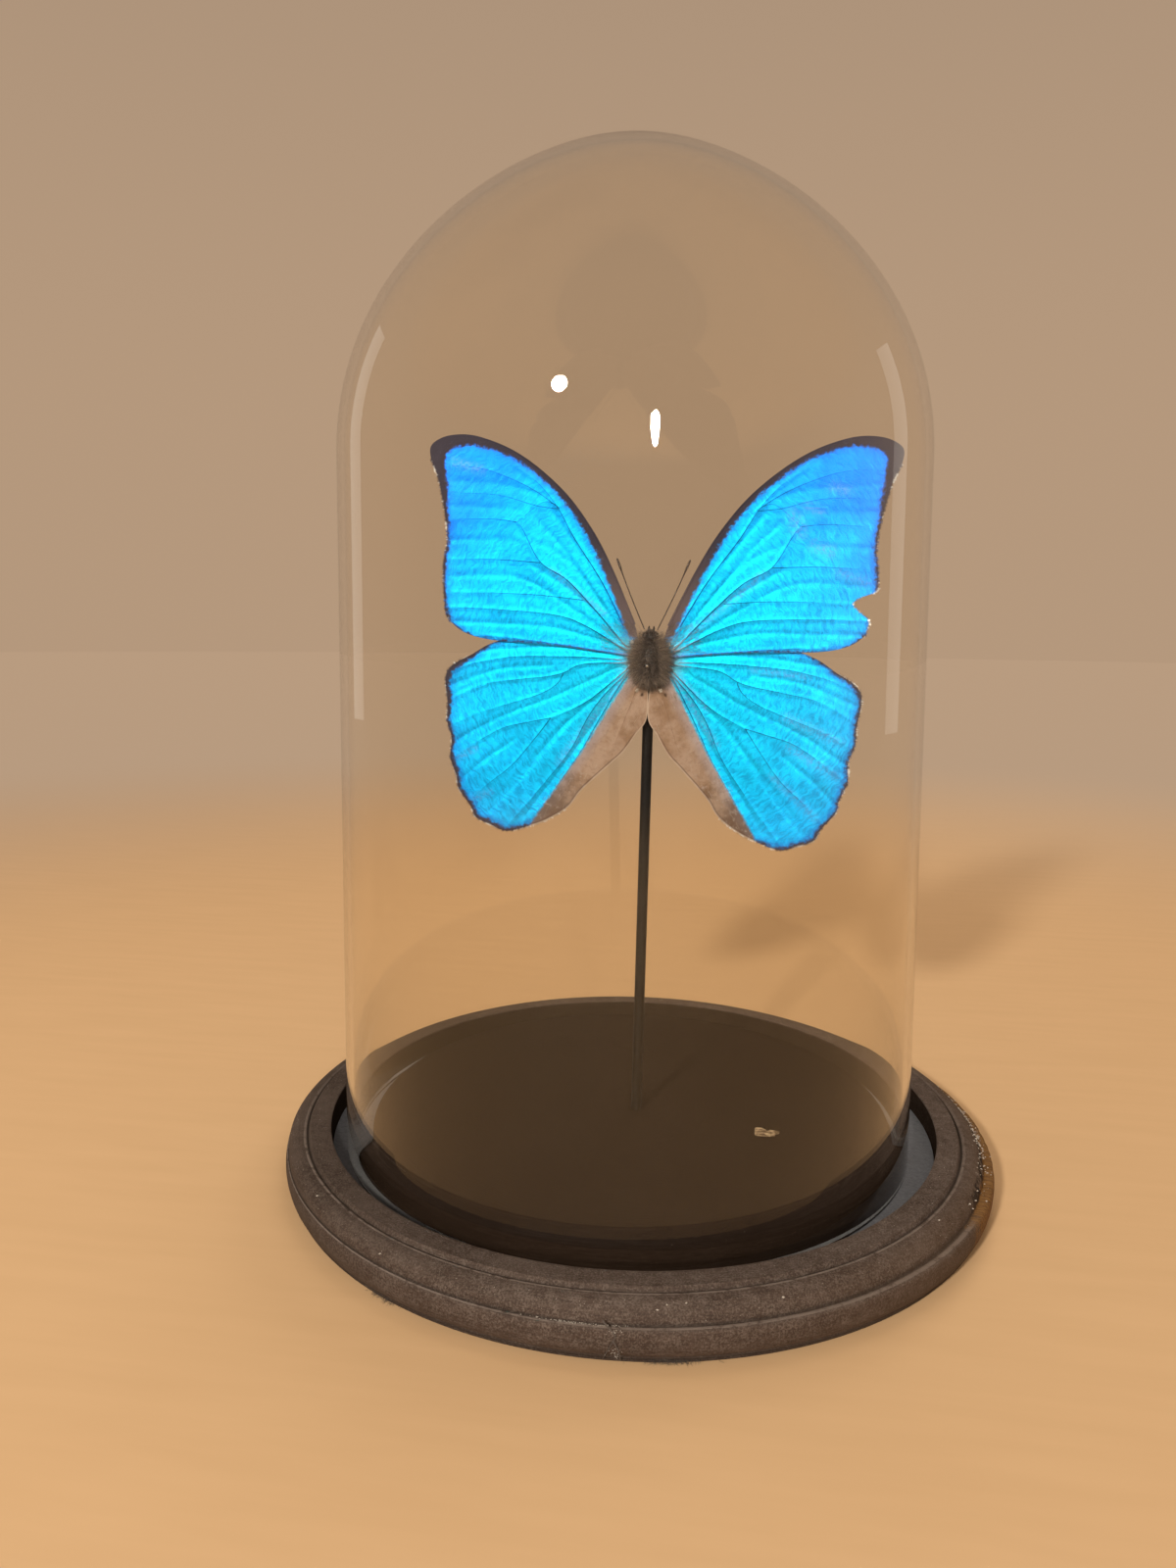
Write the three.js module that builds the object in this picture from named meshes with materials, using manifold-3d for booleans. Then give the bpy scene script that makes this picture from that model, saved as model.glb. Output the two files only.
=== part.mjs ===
// A blue morpho butterfly on a thin black rod, under a glass dome on a turned, dark-stained wooden base.
// Millimetres, +Z up. The origin is the centre of the base's underside, and the front faces -Y.
import * as THREE from 'three';
import { mergeVertices } from 'three/addons/utils/BufferGeometryUtils.js';
import Module from 'manifold-3d';

const wasm = await Module();
wasm.setup();

// ---- Driving dimensions ----
const GAP = 0.3; // left between pieces that touch

// Turned base: foot, two fine lines, torus, ledge, ovolo, quirk, flat rim, groove and platform
const FOOT_R = 106.6;
const TORUS_R = 108.4;
const TORUS_Z = 5.6;
const TORUS_TOP_R = 108.1;
const TORUS_TOP_Z = 8.4;
const LEDGE_R = 106.7;
const LEDGE_Z = 8.9;
const LIP_R = 101.2;
const LIP_Z = 13.3;
const QUIRK_R = 100.4;
const QUIRK_Z = 12.9;
const RIM_OUTER_R = 99.8;
const RIM_INNER_R = 93.6;
const RIM_Z = 14.2;
const GROOVE_Z = 6.1;
const PLATFORM_R = 81.2;
const PLATFORM_Z = 12.6;
const EDGE_BREAK = 0.4;
const BASE_SIDES = 48;

// All above the torus was turned on a second centre, a little to the left
const TOP_X = -1.6;
const TOP_R = 105.9; // inside this radius the shift is whole

// Felt strip on the floor of the groove
const FELT_THICKNESS = 1.0;
const FELT_SIDE_GAP = 0.4;

// Glass dome, set a little to the left and to the front in its groove
const DOME_X = -3.0;
const DOME_Y = -2.2;
const DOME_FOOT_R = 86.9;
const DOME_SPRING_R = 84.5;
const DOME_SPRING_Z = 208;
const DOME_CROWN = 89.9;
const CROWN_SHOULDER = 2.14; // the higher, the broader the shoulders
const CROWN_POINT = 1.56; // 2 is round on top, and less is more pointed
const DOME_LEAN = -0.0048; // sideways drift of the blown glass for each millimetre of height
const GLASS_WALL = 2.2;
const DOME_SIDES = 36;
const CROWN_STEPS = 12;

// Rod, leaning a little to the right
const ROD_R = 1.6;
const ROD_X = 0.4;
const ROD_Y = -3.1;
const ROD_LEAN = 0.74;
const ROD_SOCKET_DEPTH = 5;
const ROD_TOP_Z = 157;

// Butterfly: the middle of its thorax, and its turn clockwise as seen from the front
const BODY_X = 2.9;
const BODY_Y = -8.5;
const BODY_Z = 154.8;
const BODY_TURN = 1.3;
const WING_THICKNESS = 0.5;

// Flake of wood on the platform
const FLAKE_X = 41.3;
const FLAKE_Y = -13.7;
const FLAKE_TURN = -4;

const degrees = THREE.MathUtils.degToRad;
const object = new THREE.Group();

function addPiece(parent, name, geometry, color, roughness, metalness = 0) {
  const material = new THREE.MeshStandardMaterial({ color, roughness, metalness });
  const mesh = new THREE.Mesh(geometry, material);
  mesh.name = name;
  parent.add(mesh);
  return mesh;
}

// ---- Solids for joining and cutting ----
function toSolid(geometry) {
  const bare = geometry.clone();
  bare.deleteAttribute('normal');
  bare.deleteAttribute('uv');
  const merged = mergeVertices(bare, 1e-4);
  const vertProperties = new Float32Array(merged.attributes.position.array);
  const triVerts = new Uint32Array(merged.index.array);
  return new wasm.Manifold(new wasm.Mesh({ numProp: 3, vertProperties, triVerts }));
}

function toGeometry(solid) {
  const { vertProperties, triVerts, numProp } = solid.getMesh();
  const positions = new Float32Array((vertProperties.length / numProp) * 3);
  for (let i = 0; i < positions.length / 3; i += 1) {
    positions.set(vertProperties.subarray(i * numProp, i * numProp + 3), i * 3);
  }
  const geometry = new THREE.BufferGeometry();
  geometry.setAttribute('position', new THREE.BufferAttribute(positions, 3));
  geometry.setIndex(new THREE.BufferAttribute(new Uint32Array(triVerts), 1));
  geometry.computeVertexNormals();
  return geometry;
}

// Turns a profile of [radius, height] pairs about the Z axis.
function turned(profile, sides) {
  const points = profile.map(([radius, height]) => new THREE.Vector2(radius, height));
  return new THREE.LatheGeometry(points, sides).rotateX(Math.PI / 2);
}

function ball(radii, centre, wide = 12, high = 8) {
  return new THREE.SphereGeometry(1, wide, high).scale(...radii).translate(...centre);
}

function smoothLine(points, steps) {
  const curve = new THREE.SplineCurve(points.map(([x, y]) => new THREE.Vector2(x, y)));
  return curve.getPoints(steps);
}

// ---- Base ----
function quarterRound(from, to, steps) {
  const [r0, z0] = from;
  const [r1, z1] = to;
  const points = [];
  for (let i = 0; i <= steps; i += 1) {
    const turn = (i / steps) * (Math.PI / 2);
    points.push([r0 - (r0 - r1) * (1 - Math.cos(turn)), z0 + (z1 - z0) * Math.sin(turn)]);
  }
  return points;
}

const baseProfile = [
  [0, 0],
  [FOOT_R, 0],
  [FOOT_R, 0.8],
  [FOOT_R - 0.6, 1.0],
  [FOOT_R + 0.4, 1.2],
  [FOOT_R + 0.4, 1.7],
  [FOOT_R - 0.2, 1.9],
  [FOOT_R + 0.9, 2.2],
  [TORUS_R - 0.3, 3.6],
  [TORUS_R, TORUS_Z],
  [TORUS_TOP_R, TORUS_TOP_Z],
  ...quarterRound([LEDGE_R, LEDGE_Z], [LIP_R, LIP_Z], 4),
  [QUIRK_R, QUIRK_Z],
  [RIM_OUTER_R, RIM_Z],
  [RIM_INNER_R + EDGE_BREAK, RIM_Z],
  [RIM_INNER_R, RIM_Z - EDGE_BREAK],
  [RIM_INNER_R, GROOVE_Z],
  [PLATFORM_R, GROOVE_Z],
  [PLATFORM_R, PLATFORM_Z - EDGE_BREAK],
  [PLATFORM_R - EDGE_BREAK, PLATFORM_Z],
  [0, PLATFORM_Z],
];
const baseShape = turned(baseProfile, BASE_SIDES);
const basePoints = baseShape.attributes.position;
for (let i = 0; i < basePoints.count; i += 1) {
  const radius = Math.hypot(basePoints.getX(i), basePoints.getY(i));
  const share = THREE.MathUtils.clamp((TORUS_TOP_R - radius) / (TORUS_TOP_R - TOP_R), 0, 1);
  if (basePoints.getZ(i) > GROOVE_Z - EDGE_BREAK) {
    basePoints.setX(i, basePoints.getX(i) + TOP_X * share);
  }
}
const socket = new THREE.CylinderGeometry(ROD_R + GAP, ROD_R + GAP, ROD_SOCKET_DEPTH * 2, 16)
  .rotateX(Math.PI / 2)
  .translate(ROD_X, ROD_Y, PLATFORM_Z);
const baseSolid = toSolid(baseShape).subtract(toSolid(socket));
addPiece(object, 'base', toGeometry(baseSolid), 0x4a3d34, 0.75);

// ---- Felt ring ----
const feltInner = PLATFORM_R + FELT_SIDE_GAP;
const feltOuter = RIM_INNER_R - FELT_SIDE_GAP;
const feltFloor = GROOVE_Z + GAP;
const feltTop = feltFloor + FELT_THICKNESS;
const feltProfile = [
  [feltInner, feltFloor],
  [feltOuter, feltFloor],
  [feltOuter, feltTop],
  [feltInner, feltTop],
  [feltInner, feltFloor],
];
const felt = addPiece(object, 'felt_ring', turned(feltProfile, BASE_SIDES), 0x66686c, 0.95);
felt.position.x = TOP_X;

// ---- Glass dome ----
// Half of the dome's section, from the middle of the crown down to the foot.
function domeLine(wall) {
  const foot = feltTop + GAP;
  const springR = DOME_SPRING_R - wall;
  const crown = DOME_CROWN - wall;
  const points = [];
  for (let i = 0; i <= CROWN_STEPS; i += 1) {
    const rise = Math.sin((1 - i / CROWN_STEPS) * (Math.PI / 2));
    const radius = springR * (1 - rise ** CROWN_SHOULDER) ** (1 / CROWN_POINT);
    points.push([radius, DOME_SPRING_Z + crown * rise]);
  }
  points.push([(springR + DOME_FOOT_R - wall) / 2, (DOME_SPRING_Z + foot) / 2]);
  points.push([DOME_FOOT_R - wall, foot]);
  return points;
}

const domeSection = [...domeLine(0), ...domeLine(GLASS_WALL).reverse()].reverse();
const domeShape = turned(domeSection, DOME_SIDES)
  .applyMatrix4(new THREE.Matrix4().makeShear(0, 0, 0, 0, DOME_LEAN, 0));
const dome = addPiece(object, 'glass_dome', domeShape, 0xd8d2c8, 0.05);
dome.material.transparent = true;
dome.material.opacity = 0.3;
dome.position.set(DOME_X, DOME_Y, 0);

// ---- Rod ----
const rodFoot = PLATFORM_Z - ROD_SOCKET_DEPTH + GAP;
const rodLength = ROD_TOP_Z - rodFoot;
const rodShape = new THREE.CylinderGeometry(ROD_R, ROD_R, rodLength, 12)
  .rotateX(Math.PI / 2)
  .translate(0, 0, rodLength / 2);
const rod = addPiece(object, 'rod', rodShape, 0x1c1a19, 0.4);
rod.position.set(ROD_X, ROD_Y, rodFoot);
rod.rotation.y = degrees(ROD_LEAN);

// ---- Butterfly ----
// Its own frame: X to the specimen's right-hand side in the view from the front, Y to the back, Z to
// the head. The origin is in the plane of the wings, at the middle of the thorax.
const butterfly = new THREE.Group();
butterfly.position.set(BODY_X, BODY_Y, BODY_Z);
butterfly.rotation.y = degrees(BODY_TURN);
object.add(butterfly);

// Body: a furry thorax and a head with two eyes and two palps, grown as one. grow makes it larger.
function bodySolid(grow = 0) {
  const thorax = ball([4.5 + grow, 3.8 + grow, 7.9 + grow], [0.1, -0.6, -1.7], 14, 10);
  const head = ball([2.3 + grow, 2.1 + grow, 2.0 + grow], [0, -0.6, 6.1], 10, 8);
  const parts = [thorax, head];
  for (const side of [-1, 1]) {
    parts.push(ball([0.9 + grow, 1.1 + grow, 1.1 + grow], [side * 1.8, -0.6, 6.5], 7, 5));
    parts.push(ball([0.5 + grow, 0.6 + grow, 1.5 + grow], [side * 0.7, 0.4, 8.0], 6, 5));
  }
  return parts.map(toSolid).reduce((whole, part) => whole.add(part));
}

// Pin: a short insect pin through the thorax, with its head on the front
const PIN_X = -0.3;
const PIN_Z = -2.0;
const PIN_R = 0.25;
const PIN_HEAD_R = 0.55;
const PIN_FRONT = -5.3;
const PIN_BACK = 3.4;
const pinLength = PIN_BACK - PIN_FRONT;
const pinShank = new THREE.CylinderGeometry(PIN_R, PIN_R, pinLength, 8)
  .translate(PIN_X, 0, PIN_Z)
  .translate(0, (PIN_FRONT + PIN_BACK) / 2, 0);
const pinHead = ball([PIN_HEAD_R, PIN_HEAD_R, PIN_HEAD_R], [PIN_X, PIN_FRONT, PIN_Z], 10, 8);
const pinHole = new THREE.CylinderGeometry(PIN_R + GAP, PIN_R + GAP, 4 * pinLength, 8)
  .translate(PIN_X, 0, PIN_Z);
const pinSolid = toSolid(pinShank).add(toSolid(pinHead));
addPiece(butterfly, 'pin', toGeometry(pinSolid), 0xb8b2a6, 0.3, 1);
addPiece(butterfly, 'body', toGeometry(bodySolid().subtract(toSolid(pinHole))), 0x3a2c22, 0.9);
const bodyRoom = bodySolid(GAP);

// One line serves both sides, drawn for the side at +X: from the root along the costa to the tip,
// down the outer margin and back to the root. The hindwing goes on round its tan fold to the middle.
const FOREWING = {
  root: [3, 1.5],
  edge: [
    [4.5, 8.5], [12, 24.7], [19, 37], [28, 48], [40.5, 57.6], [52.5, 62.3], [61, 62.6], [66.5, 60.2],
    [67.2, 56.5], [64.7, 50], [62.7, 41], [61.8, 33], [62.7, 26], [62.7, 20], [61.9, 12], [59.8, 8.2],
    [55, 5.2], [47, 3.6], [36, 3.4], [26, 2.6], [15, 1.4], [6.5, 0.4],
  ],
  depth: 0,
  camber: 3.0,
  reach: 70,
};
const HINDWING = {
  root: [2.5, 0],
  edge: [
    [8, 3.4], [22, 5.6], [38, 4.8], [47.5, 2.2], [54, -1.7], [59.8, -5.3], [61.6, -9.5], [60.8, -16],
    [60.7, -22], [59.2, -27], [59.4, -33], [57.4, -38.5], [56.6, -42.5], [52.8, -47.5], [51, -51],
    [46.5, -53], [41.3, -54.7], [35, -53], [29, -50.5], [22.5, -46], [18.6, -40.5], [10.7, -32.4],
    [6.6, -28.2], [3.1, -22.7], [0.15, -17.8], [0.15, -9],
  ],
  depth: 1.0,
  camber: 2.0,
  reach: 62,
};
const PLEATS = 9;
const PLEAT_HEIGHT = 0.3;
const WING_STEPS = 52;
const WING_RINGS = [0.35, 0.7, 1];

// A thin closed sheet, fanned out from its root: slightly cambered and pleated along its veins.
function wingSheet({ root, edge, depth, camber, reach }) {
  const rim = smoothLine(edge, WING_STEPS);
  const across = WING_RINGS.length;
  const positions = [];
  const faces = [];
  const index = (face, step, ring) => (face * rim.length + step) * across + ring + 2;
  const addPoint = (x, z, lift, face) => {
    const y = depth - camber * (x / reach) ** 2 + lift;
    positions.push(x, y + (face ? 0.5 : -0.5) * WING_THICKNESS, z);
  };
  addPoint(...root, 0, 0);
  addPoint(...root, 0, 1);
  for (const face of [0, 1]) {
    rim.forEach((point, step) => {
      for (const share of WING_RINGS) {
        const x = root[0] + (point.x - root[0]) * share;
        const z = root[1] + (point.y - root[1]) * share;
        const pleat = Math.cos((step / WING_STEPS) * PLEATS * 2 * Math.PI);
        addPoint(x, z, PLEAT_HEIGHT * pleat * share * (step > 0 && step < WING_STEPS ? 1 : 0), face);
      }
    });
  }
  const quad = (a, b, c, d) => faces.push(a, b, c, a, c, d);
  for (let step = 0; step < WING_STEPS; step += 1) {
    const next = step + 1;
    faces.push(0, index(0, next, 0), index(0, step, 0));
    faces.push(1, index(1, step, 0), index(1, next, 0));
    for (let ring = 0; ring < across - 1; ring += 1) {
      quad(index(0, step, ring), index(0, next, ring), index(0, next, ring + 1), index(0, step, ring + 1));
      quad(index(1, step, ring), index(1, step, ring + 1), index(1, next, ring + 1), index(1, next, ring));
    }
    const last = across - 1;
    quad(index(0, step, last), index(0, next, last), index(1, next, last), index(1, step, last));
  }
  // The two straight sides at the root
  for (const [step, flip] of [[0, false], [WING_STEPS, true]]) {
    const front = [0, ...WING_RINGS.map((_, ring) => index(0, step, ring))];
    const back = [1, ...WING_RINGS.map((_, ring) => index(1, step, ring))];
    for (let i = 0; i < across; i += 1) {
      if (flip) quad(front[i], back[i], back[i + 1], front[i + 1]);
      else quad(front[i], front[i + 1], back[i + 1], back[i]);
    }
  }
  const geometry = new THREE.BufferGeometry();
  geometry.setAttribute('position', new THREE.Float32BufferAttribute(positions, 3));
  geometry.setIndex(faces);
  return geometry;
}

// The torn notch in the outer margin of the right forewing
function tornNotch() {
  const outline = smoothLine([[70, 20.2], [61.5, 19.9], [57.9, 18.9], [56.2, 17.4], [57.2, 15.1],
    [60.1, 13.3], [62.2, 11.6], [70, 10.5]], 14);
  const notch = new THREE.ExtrudeGeometry(new THREE.Shape(outline), { depth: 40, bevelEnabled: false });
  return toSolid(notch.rotateX(Math.PI / 2).translate(0, 20, 0));
}

// Each wing's name, shape, side, turn about the middle in degrees and size beside the common outline
const WINGS = [
  ['forewing_left', FOREWING, -1, 0.2, 0.994],
  ['forewing_right', FOREWING, 1, -0.16, 1.006],
  ['hindwing_left', HINDWING, -1, 0.9, 1.0],
  ['hindwing_right', HINDWING, 1, -0.5, 0.996],
];
for (const [name, shape, side, turn, size] of WINGS) {
  let solid = toSolid(wingSheet(shape));
  if (name === 'forewing_right') solid = solid.subtract(tornNotch());
  solid = solid.scale([size, 1, size]).rotate([0, -turn, 0]);
  if (side < 0) solid = solid.mirror([1, 0, 0]);
  solid = solid.subtract(bodyRoom);
  addPiece(butterfly, name, toGeometry(solid), 0x14a4e8, 0.45);
}

// Antennae: straight and thin, with a slender club
const ANTENNA_ROOT = new THREE.Vector3(1.9, -0.9, 8.9);
const ANTENNA_TIP = new THREE.Vector3(10.6, -1.8, 28.5);
const ANTENNA_R = 0.22;
const CLUB_R = 0.42;
for (const [name, side] of [['antenna_left', -1], ['antenna_right', 1]]) {
  const from = ANTENNA_ROOT.clone().multiply(new THREE.Vector3(side, 1, 1));
  const to = ANTENNA_TIP.clone().multiply(new THREE.Vector3(side, 1, 1));
  const length = from.distanceTo(to);
  const profile = [[0, 0], [ANTENNA_R, 0], [ANTENNA_R, length * 0.75], [CLUB_R, length * 0.9],
    [CLUB_R, length * 0.97], [0, length]];
  const points = profile.map(([radius, height]) => new THREE.Vector2(radius, height));
  const antenna = addPiece(butterfly, name, new THREE.LatheGeometry(points, 8), 0x3a2418, 0.6);
  antenna.position.copy(from);
  antenna.quaternion.setFromUnitVectors(new THREE.Vector3(0, 1, 0), to.sub(from).normalize());
}

// Legs: the two walking pairs, folded behind the thorax on either side of the rod
const LEG_R = 0.32;
const LEGS = [
  ['mid', [[3.6, 3.1, 0.6], [5.3, 5.2, -0.6], [4.6, 6.6, 3.2], [3.9, 6.2, 7.4]]],
  ['hind', [[3.6, 3.0, -4.4], [5.8, 5.0, -6.4], [5.2, 6.4, -12.0], [4.2, 6.0, -17.2]]],
];
for (const [pair, joints] of LEGS) {
  for (const [hand, side] of [['left', -1], ['right', 1]]) {
    const path = new THREE.CatmullRomCurve3(
      joints.map(([x, y, z]) => new THREE.Vector3(side * x, y, z)), false, 'centripetal');
    const section = new THREE.Shape(new THREE.EllipseCurve(0, 0, LEG_R, LEG_R).getPoints(6).slice(0, 6));
    const leg = new THREE.ExtrudeGeometry(section, { steps: 9, extrudePath: path });
    addPiece(butterfly, `leg_${hand}_${pair}`, leg, 0x2c1d14, 0.6);
  }
}

// ---- Flake of wood, fallen on the platform ----
const flakeLine = [[-3.6, -1.7], [-3.4, 1.9], [-1.2, 2.1], [0.6, 1.5], [2.3, 2.0], [3.7, 1.4], [3.2, 0.6],
  [3.9, -0.3], [2.9, -1.2], [0.9, -1.5], [-1.4, -2.1]];
const flakeShape = new THREE.Shape(flakeLine.map(([x, y]) => new THREE.Vector2(x, y)));
const flake = addPiece(object, 'wood_flake',
  new THREE.ExtrudeGeometry(flakeShape, { depth: 0.9, bevelEnabled: false }), 0xb59a72, 0.8);
flake.position.set(FLAKE_X, FLAKE_Y, PLATFORM_Z + GAP);
flake.rotation.z = degrees(FLAKE_TURN);

export default object;
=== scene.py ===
"""A blue morpho on a black rod, under a glass dome on a turned, dark-stained wooden base.

Sizes are in millimetres until a mesh is made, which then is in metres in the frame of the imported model.
The specimen has a frame of its own: X to the right, Y to the back and Z to its head, with the origin in
the plane of the wings at the middle of the thorax.
"""
import math

import bpy
import numpy as np
from mathutils import Matrix, Vector


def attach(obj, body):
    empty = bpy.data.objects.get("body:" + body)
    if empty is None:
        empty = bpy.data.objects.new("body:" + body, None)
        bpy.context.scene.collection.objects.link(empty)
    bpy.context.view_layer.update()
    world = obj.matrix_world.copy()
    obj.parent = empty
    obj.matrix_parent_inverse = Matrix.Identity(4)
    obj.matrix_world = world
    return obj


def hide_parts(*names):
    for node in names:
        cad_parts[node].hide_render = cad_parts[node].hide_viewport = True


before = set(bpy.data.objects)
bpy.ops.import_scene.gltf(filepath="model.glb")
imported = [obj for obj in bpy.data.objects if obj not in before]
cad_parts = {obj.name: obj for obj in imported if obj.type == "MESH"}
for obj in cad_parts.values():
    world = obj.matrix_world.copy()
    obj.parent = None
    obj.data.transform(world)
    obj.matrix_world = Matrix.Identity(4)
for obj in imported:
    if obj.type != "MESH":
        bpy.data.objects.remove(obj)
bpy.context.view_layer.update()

MM = 0.001
rng = np.random.default_rng(41)

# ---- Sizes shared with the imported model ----
FOOT_R = 106.6
TORUS_R, TORUS_Z = 108.4, 5.6
TORUS_TOP_R, TORUS_TOP_Z = 108.1, 8.4
LEDGE_R, LEDGE_Z = 106.7, 8.9
LIP_R, LIP_Z = 101.2, 13.3
QUIRK_R, QUIRK_Z = 100.4, 12.9
RIM_OUTER_R, RIM_INNER_R, RIM_Z = 99.8, 93.6, 14.2
GROOVE_Z = 6.1
PLATFORM_R, PLATFORM_Z = 81.2, 12.6
COVE_Z = 9.1
EDGE_BREAK = 0.4
TOP_X, TOP_R = -1.6, 105.9  # all above the torus was turned on a second centre
FELT_INNER_R, FELT_OUTER_R = 81.6, 93.2
FELT_FLOOR_Z, FELT_TOP_Z = 6.4, 7.4

DOME_X, DOME_Y = -3.0, -2.2
DOME_FOOT_R, DOME_FOOT_Z = 86.9, 7.7
DOME_SPRING_R, DOME_SPRING_Z = 84.5, 208.0
DOME_CROWN = 89.9
CROWN_SHOULDER, CROWN_POINT = 2.14, 1.56
DOME_LEAN = -0.0048
GLASS_WALL = 2.2
LIP_ROUND = 0.8

ROD_R = 1.6
ROD_X, ROD_Y, ROD_FOOT_Z, ROD_TOP_Z = 0.4, -3.1, 7.9, 157.0
ROD_LEAN = 0.74

BODY_X, BODY_Y, BODY_Z = 2.9, -8.5, 154.8
BODY_TURN = 1.3

FLAKE_X, FLAKE_Y, FLAKE_Z, FLAKE_TURN = 41.3, -13.7, 12.9, -4.0
FLAKE_THICKNESS = 0.9

# ---- Camera ----
CAMERA_PLACE = (33.48, -327.12, 164.33)
CAMERA_YAW, CAMERA_PITCH, CAMERA_ROLL = -8.686, 8.366, 0.551
CAMERA_LENS = 24.81


def add_object(name, data):
    made = bpy.data.objects.new(name, data)
    bpy.context.scene.collection.objects.link(made)
    return made


def set_camera():
    data = bpy.data.cameras.new("camera")
    data.lens = CAMERA_LENS
    data.sensor_width = 36.0
    data.clip_start = 0.01
    yaw, pitch, roll = (math.radians(a) for a in (CAMERA_YAW, CAMERA_PITCH, CAMERA_ROLL))
    ahead = Vector((math.sin(yaw) * math.cos(pitch), math.cos(yaw) * math.cos(pitch), -math.sin(pitch)))
    level = Vector((math.cos(yaw), -math.sin(yaw), 0.0))
    upright = level.cross(ahead)
    right = level * math.cos(roll) + upright * math.sin(roll)
    up = upright * math.cos(roll) - level * math.sin(roll)
    camera = add_object("camera", data)
    camera.matrix_world = Matrix((right, up, -ahead)).transposed().to_4x4()
    camera.location = Vector(CAMERA_PLACE) * MM
    bpy.context.scene.camera = camera


# ---- Shader maths ----
class Value:
    """What a node gives out. Arithmetic on it adds the Math nodes for it."""

    def __init__(self, finish, socket):
        self.finish = finish
        self.socket = socket

    def __add__(self, other):
        return self.finish.maths("ADD", self, other)

    def __sub__(self, other):
        return self.finish.maths("SUBTRACT", self, other)

    def __mul__(self, other):
        return self.finish.maths("MULTIPLY", self, other)

    def __truediv__(self, other):
        return self.finish.maths("DIVIDE", self, other)

    def __rsub__(self, other):
        return self.finish.maths("SUBTRACT", other, self)

    __radd__ = __add__
    __rmul__ = __mul__


class Finish:
    """A material: one Principled shader, its constant sockets, and the nodes that feed the others."""

    def __init__(self, name, gloss=0.5, constants=None):
        self.material = bpy.data.materials.new(name)
        self.material.use_nodes = True
        self.tree = self.material.node_tree
        self.shader = self.tree.nodes["Principled BSDF"]
        for socket, amount in {"Specular IOR Level": gloss, **(constants or {})}.items():
            self.shader.inputs[socket].default_value = amount

    def feed(self, target, source):
        if isinstance(source, Value):
            self.tree.links.new(source.socket, target)
        elif isinstance(source, tuple) and len(target.default_value) == 4:
            target.default_value = (*source, 1.0)
        else:
            target.default_value = source

    def node(self, kind, settings=None, sockets=None, out=0):
        """Any node: its settings first, then the values or links of its sockets. Gives its output out."""
        made = self.tree.nodes.new("ShaderNode" + kind)
        for setting, choice in (settings or {}).items():
            if setting == "stops":
                set_stops(made.color_ramp, choice)
            else:
                setattr(made, setting, choice)
        for socket, source in (sockets or {}).items():
            self.feed(made.inputs[socket], source)
        return Value(self, made.outputs[out])

    def maths(self, operation, a, b=0.0):
        return self.node("Math", {"operation": operation}, {0: a, 1: b})

    def mask(self, value, low, high):
        """0 where value is at low, 1 at high, with soft ends."""
        settings = {"interpolation_type": "SMOOTHSTEP"}
        return self.node("MapRange", settings, {"Value": value, "From Min": low, "From Max": high})

    def near(self, value, at, half, sure=None):
        """1 where value is within sure of at, and 0 from half on."""
        return self.mask(self.maths("ABSOLUTE", value - at), half, half * 0.4 if sure is None else sure)

    def noise(self, place, scale, detail=2.0, roughness=0.5):
        sockets = {"Vector": place, "Scale": scale, "Detail": detail, "Roughness": roughness}
        return self.node("TexNoise", None, sockets, "Fac")

    def blend(self, factor, a, b):
        """Colour a where factor is 0, and b where it is 1."""
        return self.node("Mix", {"data_type": "RGBA"}, {0: factor, 6: a, 7: b}, 2)

    def layers(self, colour, *coats):
        """The colour under coats, each given by how far it covers and its own colour."""
        for cover, tint in coats:
            colour = self.blend(cover, colour, tint)
        return colour

    def ramp(self, value, *stops):
        return self.node("ValToRGB", {"stops": stops}, {"Fac": value})

    def mark(self, name, out="Fac"):
        """A number kept at the points of the mesh."""
        return self.node("Attribute", {"attribute_name": name}, None, out)

    def split(self, vector):
        return [self.node("SeparateXYZ", None, {0: vector}, axis) for axis in range(3)]

    def join(self, x, y, z):
        return self.node("CombineXYZ", None, {0: x, 1: y, 2: z})

    def place(self):
        """The point's place in the object's frame, in millimetres."""
        metres = self.node("TexCoord", None, None, "Object")
        return self.node("VectorMath", {"operation": "SCALE"}, {0: metres, "Scale": 1 / MM})

    def paint(self, socket, value):
        self.feed(self.shader.inputs[socket], value)

    def bump(self, height, strength, depth):
        sockets = {"Height": height, "Strength": strength, "Distance": depth * MM}
        self.paint("Normal", self.node("Bump", None, sockets))

    def cover(self, colour, roughness, *relief):
        """Feeds the colour, the roughness and, if there is one, a relief with its strength and depth."""
        self.paint("Base Color", colour)
        self.paint("Roughness", roughness)
        if relief:
            self.bump(*relief)
        return self


def set_stops(ramp, stops):
    while len(ramp.elements) < len(stops):
        ramp.elements.new(0.5)
    for element, (position, colour) in zip(ramp.elements, stops):
        element.position = position
        element.color = (*colour, 1.0)


def mottled_finish(name, gloss, grain, tones, roughness, spread, constants=None):
    """Two tones by a noise of the grain's scale and detail, which also varies the roughness."""
    finish = Finish(name, gloss, constants)
    patch = finish.noise(finish.place(), *grain)
    return finish.cover(finish.blend(patch, *tones), roughness + patch * spread)


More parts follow.
